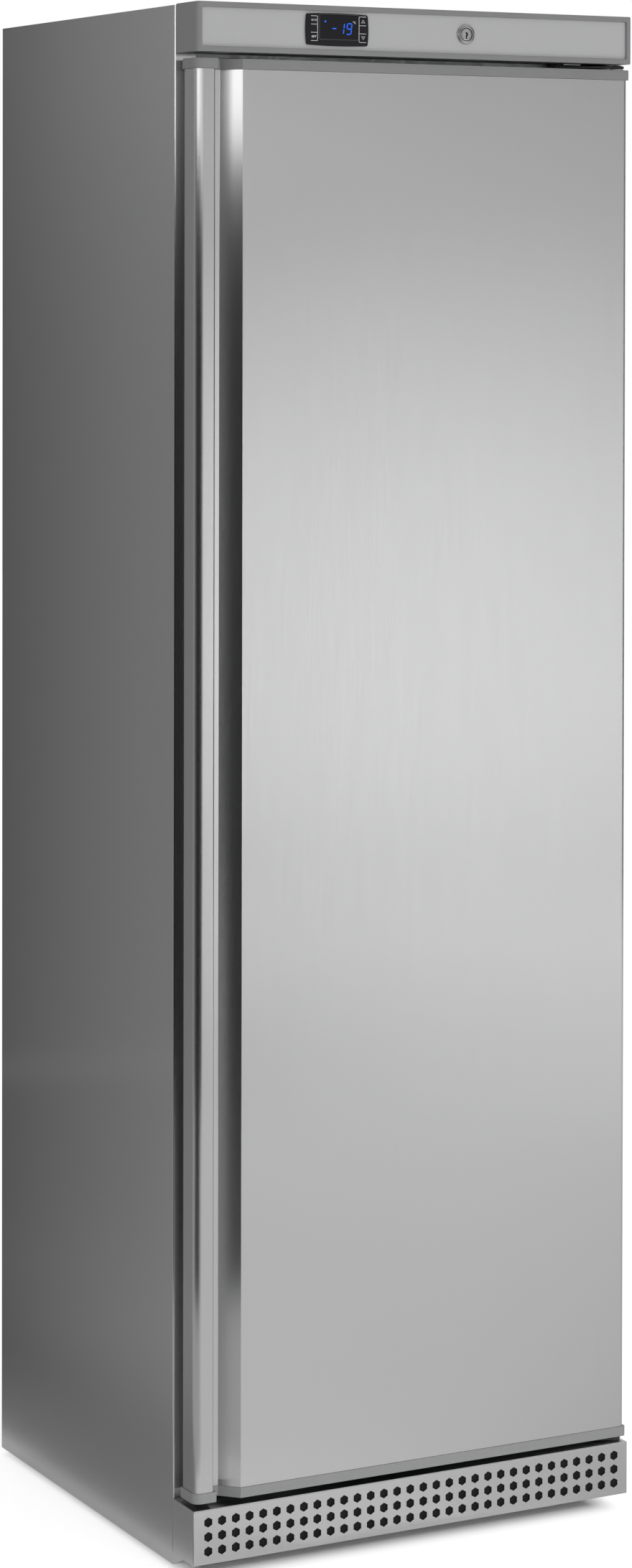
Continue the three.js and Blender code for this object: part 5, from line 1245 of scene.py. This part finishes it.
def fan_motor():
    """Ribbed can on four strap arms."""
    y = span("fan_motor")[1]
    sx, _, sz = span("fan_shroud")
    cx, cz = mid(sx), mid(sz)
    rear = y[1] - 42
    profile = [(0, rear + 0.1), (31, rear + 0.1), (32.6, rear + 0.8), (33, rear + 2.4)]
    for i in range(9):
        h = rear + 8 + i * 3
        profile += [(33, h), (31.6, h + 0.5), (31.6, h + 1.6), (33, h + 2.1)]
    nose = [(33, 3), (31.5, 1), (28, 0.2), (12, 0), (11, 1.2), (4, 1.2), (3.4, 0.4), (0, 0.4)]
    profile += [(radius, y[1] - short) for radius, short in nose]
    parts = [lathe(profile, (cx, 0, cz), "y", 48)]
    foot = 89 + 1.5 + 0.3
    start = span("fan_shroud")[1][0] + 1.8
    for angle in (45, 135, 225, 315):
        strap = folded([(33 - 2, rear + 6, 0), (foot + 8, rear + 6, 3), (foot + 8, start)], 2, 6)
        arm = prism([strap], (-4, 4), rim=0.4)
        pad = block((foot, foot + 8), (start, start + 1.6), (-4, 4), 0.4, 1)
        whole = joined(arm, pad)
        parts.append(shifted(turned(whole, angle, "y"), x=cx, z=cz))
    piece("fan_motor_can", joined(*parts), PAINT, replaces="fan_motor")


def fan_blade():
    """Five curved blades, twisted from hub to tip, on a domed hub."""
    _, y, _ = span("fan_blade")
    sx, _, sz = span("fan_shroud")
    cx, cz = mid(sx), mid(sz)
    front, back = y
    middle = (front + back) / 2
    hub = lathe([(0, front), (14, front), (18, front + 1), (20, front + 3.5), (20, back - 0.8), (19.2, back),
                 (9, back), (8, back - 2), (0, back - 2)], (cx, 0, cz), "y", 40)
    parts = [hub]
    across, along = 8, 7
    for b in range(FAN_BLADES):
        bm = bmesh.new()
        grid = []
        for i in range(along + 1):
            radius = FAN_HUB - 1 + (84 - FAN_HUB) * i / along
            pitch = math.radians(36 - 12 * i / along)
            chord = FAN_CHORD * (0.72 + 0.42 * i / along)
            row = []
            for j in range(across + 1):
                s = j / across - 0.5
                camber = 3.2 * (1 - 4 * s * s)
                depth = chord * s * math.sin(pitch) * 0.72 + camber * math.cos(pitch) - 1.5
                depth = max(front + 1.2 - middle, min(back - 1.2 - middle, depth))
                sweep = chord * s * math.cos(pitch) / radius + 0.1 * i / along + 2 * math.pi * b / FAN_BLADES
                at = (cx + radius * math.cos(sweep), middle + depth, cz + radius * math.sin(sweep))
                row.append(bm.verts.new(at))
            grid.append(row)
        for i in range(along):
            for j in range(across):
                bm.faces.new([grid[i][j], grid[i][j + 1], grid[i + 1][j + 1], grid[i + 1][j]])
        bmesh.ops.solidify(bm, geom=bm.faces[:], thickness=1.1)
        parts.append(bm)
    piece("fan_blade_pressed", joined(*parts), ALUMINIUM, "fan", "fan_blade")


PIPE_RADIUS = 3.2


def sleeved(line, *sleeves):
    """A bent pipe with a brazed sleeve over each given end."""
    ends = [tube([at, (at[0], at[1], at[2] + 9)], 4.2, 16) for at in sleeves]
    return joined(tube(bent(line, 12, 8), PIPE_RADIUS, 20), *ends)


def pipes():
    """Copper lines with their brazed sleeves."""
    condenser_x, condenser_y, _ = span("condenser")
    middle, gas_in = mid(condenser_y), condenser_x[0] + 40
    mouth, top = span("discharge_pipe")[2]
    over = top - PIPE_RADIUS
    port = span("compressor")[2][1] + 0.3
    line = [(DISCHARGE_X, PORT_Y, port), (DISCHARGE_X, PORT_Y, over), (gas_in, PORT_Y, over),
            (gas_in, middle, over), (gas_in, middle, mouth)]
    piece("discharge_pipe_bent", sleeved(line, line[0], line[-1]), COPPER, replaces="discharge_pipe")
    side = SUCTION_X - 60
    line = [(SUCTION_X, PORT_Y, port), (SUCTION_X, PORT_Y, port + 30), (side, PORT_Y, port + 30),
            (side, PORT_Y, span("suction_pipe")[2][1])]
    piece("suction_pipe_bent", sleeved(line, line[0]), COPPER, replaces="suction_pipe")


DRIER_END = -65.0  # the drier's end towards the condenser


def filter_drier():
    """Spun copper drier hung on its two lines."""
    x, y, z = span("filter_drier")
    centre = mid(y)
    level = z[1] - 67.7
    outlet = span("condenser")[0][0] + 12
    radius, length = 10, 90
    end = DRIER_END
    ends = []
    for k in range(7):
        a = math.pi / 2 * k / 6
        ends.append((3.4 + (radius - 3.4) * math.sin(a), 14 * (1 - math.cos(a))))
    profile = [(0, 0), *ends, *[(r, length - h) for r, h in reversed(ends)], (0, length)]
    body = lathe([(r, end - length + h) for r, h in profile], (0, centre, level), "x", 40)
    inflow = [(end - 3, centre, level), (outlet, centre, level), (outlet, centre, z[0])]
    riser = x[0] + 1.7
    upward = [(end - length + 3, centre, level), (riser, centre, level), (riser, centre, z[1])]
    parts = [body, tube(bent(inflow, 10, 8), 3.2, 18), tube(bent(upward, 10, 8), 1.6, 12)]
    piece("filter_drier_spun", joined(*parts), COPPER, replaces="filter_drier")


def machine_bay():
    compressor()
    terminal_cover()
    for i in range(1, 5):
        grommet(i)
    condenser()
    fan_shroud()
    fan_motor()
    fan_blade()
    pipes()
    filter_drier()
    refined("mains_cable_gland", BLACK, 0.3, 2, 25)


# ------------------------------------------------------------------ stage, light and camera

CAMERA_AT = Vector((-2.2769, -4.3819, 1.5420))
CAMERA_YAW, CAMERA_PITCH, CAMERA_ROLL = 27.923, -0.816, 0.108  # degrees; yaw from +Y towards +X
LENS_MM = 89.19  # on 36 mm along the picture's long side
SHIFT = (-0.0159, -0.2906)


def stage_mesh(name, points, faces, material):
    mesh = bpy.data.meshes.new(name)
    mesh.from_pydata(points, [], faces)
    mesh.materials.append(material)
    made = bpy.data.objects.new(name, mesh)
    scene.collection.objects.link(made)
    return made


def floor():
    """Pale ground which keeps the object's shadow and is white to the eye and in reflections."""
    made = Material("floor", (0.86, 0.86, 0.86), 1.0)
    made.set("Specular IOR Level", 0.0)
    made.set("Emission Color", (1, 1, 1, 1))
    path, place = made.node("ShaderNodeLightPath").outputs, made.split()
    reflected = made.ranged(path["Is Glossy Ray"], 0.0, FLOOR_GLOW["reflected"], (0, 1))
    glow = made.reckoned("MULTIPLY_ADD", path["Is Camera Ray"], FLOOR_GLOW["seen"], reflected)
    under = [made.ranged(made.reckoned("ABSOLUTE", place[axis]), 1, 0, (half - 0.03, half))
             for axis, half in zip("XY", FLOOR_SHADE)]
    beside = made.reckoned("SUBTRACT", 1, made.reckoned("MULTIPLY", *under))
    made.link(made.reckoned("MULTIPLY", glow, beside), made.shader.inputs["Emission Strength"])
    points = [(*corner, 0) for corner in corners_of(about(0, 14), about(0, 14))]
    stage_mesh("floor", points, [(0, 1, 2, 3)], made.material)


def screen(name, points, faces, glow, axis=None):
    """A sheet which only reflections see. Its glow is one value, or (place, value) stops along an axis."""
    made = Material(name, (0.0, 0.0, 0.0), 1.0)
    made.set("Specular IOR Level", 0.0)
    if axis is None:
        made.set("Emission Color", (1, 1, 1, 1))
        made.set("Emission Strength", glow)
    else:
        first, last = glow[0][0], glow[-1][0]
        peak = max(value for _, value in glow)
        ramp = made.node("ShaderNodeValToRGB")
        stops = ramp.color_ramp.elements
        while len(stops) < len(glow):
            stops.new(0.5)
        for stop, (place, value) in zip(stops, glow):
            stop.position = (place - first) / (last - first)
            stop.color = (value / peak, value / peak, value / peak, 1)
        made.link(made.ranged(made.split()[axis], 0, 1, (first, last)), ramp.inputs[0])
        made.link(ramp.outputs["Color"], made.shader.inputs["Emission Color"])
        made.set("Emission Strength", peak)
    sheet = stage_mesh(name, points, faces, made.material)
    sheet.visible_camera = sheet.visible_diffuse = sheet.visible_shadow = sheet.visible_transmission = False


def arc_strip(name, first, last, low, high, glow, axis=None):
    """A curved screen between two (radius, height) rims; angles in degrees from +X towards +Y."""
    steps = 24
    points, faces = [], []
    for i in range(steps + 1):
        a = math.radians(first + (last - first) * i / steps)
        for radius, z in (low, high):
            points.append((radius * math.cos(a), radius * math.sin(a), z))
    for i in range(steps):
        faces.append((2 * i, 2 * i + 2, 2 * i + 3, 2 * i + 1))
    screen(name, points, faces, glow, axis)


def wall(name, radius, first, last, glow):
    """An upright curved screen; its glow is (height, value) stops."""
    arc_strip(name, first, last, (radius, glow[0][0]), (radius, glow[-1][0]), glow, "Z")


def lamp(name, at, aim, size, radiance):
    """A soft rectangular lamp that faces a point; its radiance is that of a white wall at 1."""
    light = bpy.data.lights.new(name, "AREA")
    light.shape = "RECTANGLE"
    light.size, light.size_y = size
    light.energy = radiance * math.pi * size[0] * size[1]
    made = bpy.data.objects.new(name, light)
    made.location = at
    made.rotation_euler = (Vector(aim) - Vector(at)).to_track_quat("-Z", "Y").to_euler()
    scene.collection.objects.link(made)
    made.visible_camera = False
    return made


def world():
    """White to the eye and in reflections, softer as light."""
    made = bpy.data.worlds.new("studio")
    made.use_nodes = True
    tree = made.node_tree
    ground = tree.nodes["Background"]
    path = tree.nodes.new("ShaderNodeLightPath")
    seen = path.outputs["Is Camera Ray"]
    for output in ("Is Glossy Ray", "Is Transmission Ray"):
        either = tree.nodes.new("ShaderNodeMath")
        either.operation = "MAXIMUM"
        tree.links.new(seen, either.inputs[0])
        tree.links.new(path.outputs[output], either.inputs[1])
        seen = either.outputs[0]
    strength = tree.nodes.new("ShaderNodeMapRange")
    strength.inputs["To Min"].default_value = WORLD_LIGHT
    strength.inputs["To Max"].default_value = 1.0
    tree.links.new(seen, strength.inputs["Value"])
    tree.links.new(strength.outputs["Result"], ground.inputs["Strength"])
    ground.inputs["Color"].default_value = (1, 1, 1, 1)
    scene.world = made


def camera():
    data = bpy.data.cameras.new("camera")
    data.sensor_width = 36
    data.lens = LENS_MM
    data.shift_x, data.shift_y = SHIFT
    data.clip_end = 60
    made = bpy.data.objects.new("camera", data)
    yaw, pitch, roll = (math.radians(a) for a in (CAMERA_YAW, CAMERA_PITCH, CAMERA_ROLL))
    turns = ((-yaw, "Z"), (math.pi / 2 + pitch, "X"), (roll, "Z"))
    heading, tilt, lean = (Matrix.Rotation(angle, 4, axis) for angle, axis in turns)
    made.matrix_world = Matrix.Translation(CAMERA_AT) @ heading @ tilt @ lean
    scene.collection.objects.link(made)
    scene.camera = made


FLOOR_GLOW = {"seen": 0.55, "reflected": 0.08}
FLOOR_SHADE = (0.295, 0.275)  # half sizes of the dark ground under the freezer
WORLD_LIGHT = 0.6
LAMPS = [  # name, place, aim, size, radiance
    ("front_left", (-1.72, -4.27, 2.4), (0, 0, 1.4), (4.2, 1.5), 1.8),
    ("front_right", (2.6, -4.8, 1.8), (0, 0, 0.9), (3.0, 3.0), 1.2),
    ("front_low", (0, -1.5, 0.35), (0, 0, 0.05), (1.6, 0.4), 4.0),
]


# What the steel mirrors: polar angles of a curved screen's ends, then (height, glow) stops.
FAR, NEAR = 5.0, 2.9  # radii of the screens to the right and to the left of the camera
FAR_WALLS = {
    "dim": (275, 289, [(0, 0.2), (0.6, 0.65), (1.0, 1.05), (1.5, 1.1), (1.9, 0.2), (5, 0.1)]),
    "bright": (289, 302, [(0, 2.2), (0.35, 2.7), (0.6, 2.65), (1.0, 2.2), (1.4, 1.6),
                          (1.75, 1.0), (2.05, 0.95), (2.4, 0.35), (5, 0.05)]),
    "edge": (302, 310, [(0, 1.2), (1.0, 1.25), (1.5, 0.9), (2.0, 0.75), (2.6, 0.3), (5, 0.1)]),
    "right": (310, 360, [(0, 0.04), (2.0, 0.1), (5, 0.3)]),
}
NEAR_WALLS = {
    "back": (92, 198, [(0, 0.08), (4.2, 0.08)]),
    "left": (198, 210, [(0, 0.01), (1.75, 0.01), (1.79, 3.4), (2.3, 3.2), (2.6, 0.2), (4.2, 0.03)]),
    "box": (210, 240, [(0, 0.01), (1.75, 0.01), (1.79, 1.7), (2.2, 1.5), (2.5, 0.15), (4.2, 0.03)]),
    "front": (240, 275, [(0, 0.01), (1.4, 0.02), (1.66, 0.1), (1.72, 1.2), (2.1, 1.0), (2.4, 0.05),
                         (4.2, 0.02)]),
}
SIDE_SCREEN = (-0.8, [(-0.1, 0.52), (0.5, 0.42), (0.9, 0.16), (1.2, 0.01), (1.6, 0.02), (2.6, 0.1)])
GROUND = {  # polar angles, then (radius, glow) of the two rims
    "near": (183, 250, 0.8, 1.6, 0.5),
    "dark": (183, 250, 1.6, 2.9, 0.03),
    "front": (250, 286, 0.36, 2.6, 0.8),
    "end": (306, 335, 0.36, 2.6, 0.6),
}
GROUND_LIFT = 0.005  # the ground screens' height over the floor
FLOOR_FADE = [  # in front of the door: (radius, glow)
    (0.36, 0.68), (1.5, 0.86), (2.3, 1.05), (3.3, 1.3), (4.2, 1.6), (5.0, 2.1),
]
SIDE_GROUND = [(-0.4, 0.28), (0.4, 0.2), (1.0, 0.05), (2.6, 0.02)]  # (Y, glow) beside the left panel


def studio():
    """Soft light from the front; the steel mirrors curved screens with tall gradients."""
    world()
    floor()
    for radius, walls in ((FAR, FAR_WALLS), (NEAR, NEAR_WALLS)):
        for word, (first, last, glow) in walls.items():
            wall(f"screen_{word}", radius, first, last, glow)
    for word, (first, last, near, far, glow) in GROUND.items():
        arc_strip(f"screen_ground_{word}", first, last, (near, GROUND_LIFT), (far, GROUND_LIFT), glow)
    outer, inner = (FLOOR_FADE[-1][0], GROUND_LIFT), (FLOOR_FADE[0][0], GROUND_LIFT)
    fade = [(-radius, value) for radius, value in reversed(FLOOR_FADE)]
    arc_strip("screen_ground_right", 286, 306, outer, inner, fade, "Y")
    x, glow = SIDE_SCREEN
    sheet = [(x, *corner) for corner in corners_of((glow[0][0], glow[-1][0]), (0.0, 4.2))]
    screen("screen_side", sheet, [(0, 1, 2, 3)], glow, "Y")
    foot = corners_of((x, -0.35), (SIDE_GROUND[0][0], SIDE_GROUND[-1][0]))
    sheet = [(*corner, GROUND_LIFT) for corner in foot]
    screen("screen_ground_side", sheet, [(0, 1, 2, 3)], SIDE_GROUND, "Y")
    for word, at, aim, size, radiance in LAMPS:
        lamp(word, at, aim, size, radiance).visible_glossy = False
    camera()
    scene.view_settings.view_transform = "Standard"


# ------------------------------------------------------------------ build

cabinet()
base()
fascia()
door()
hinges()
machine_bay()
studio()
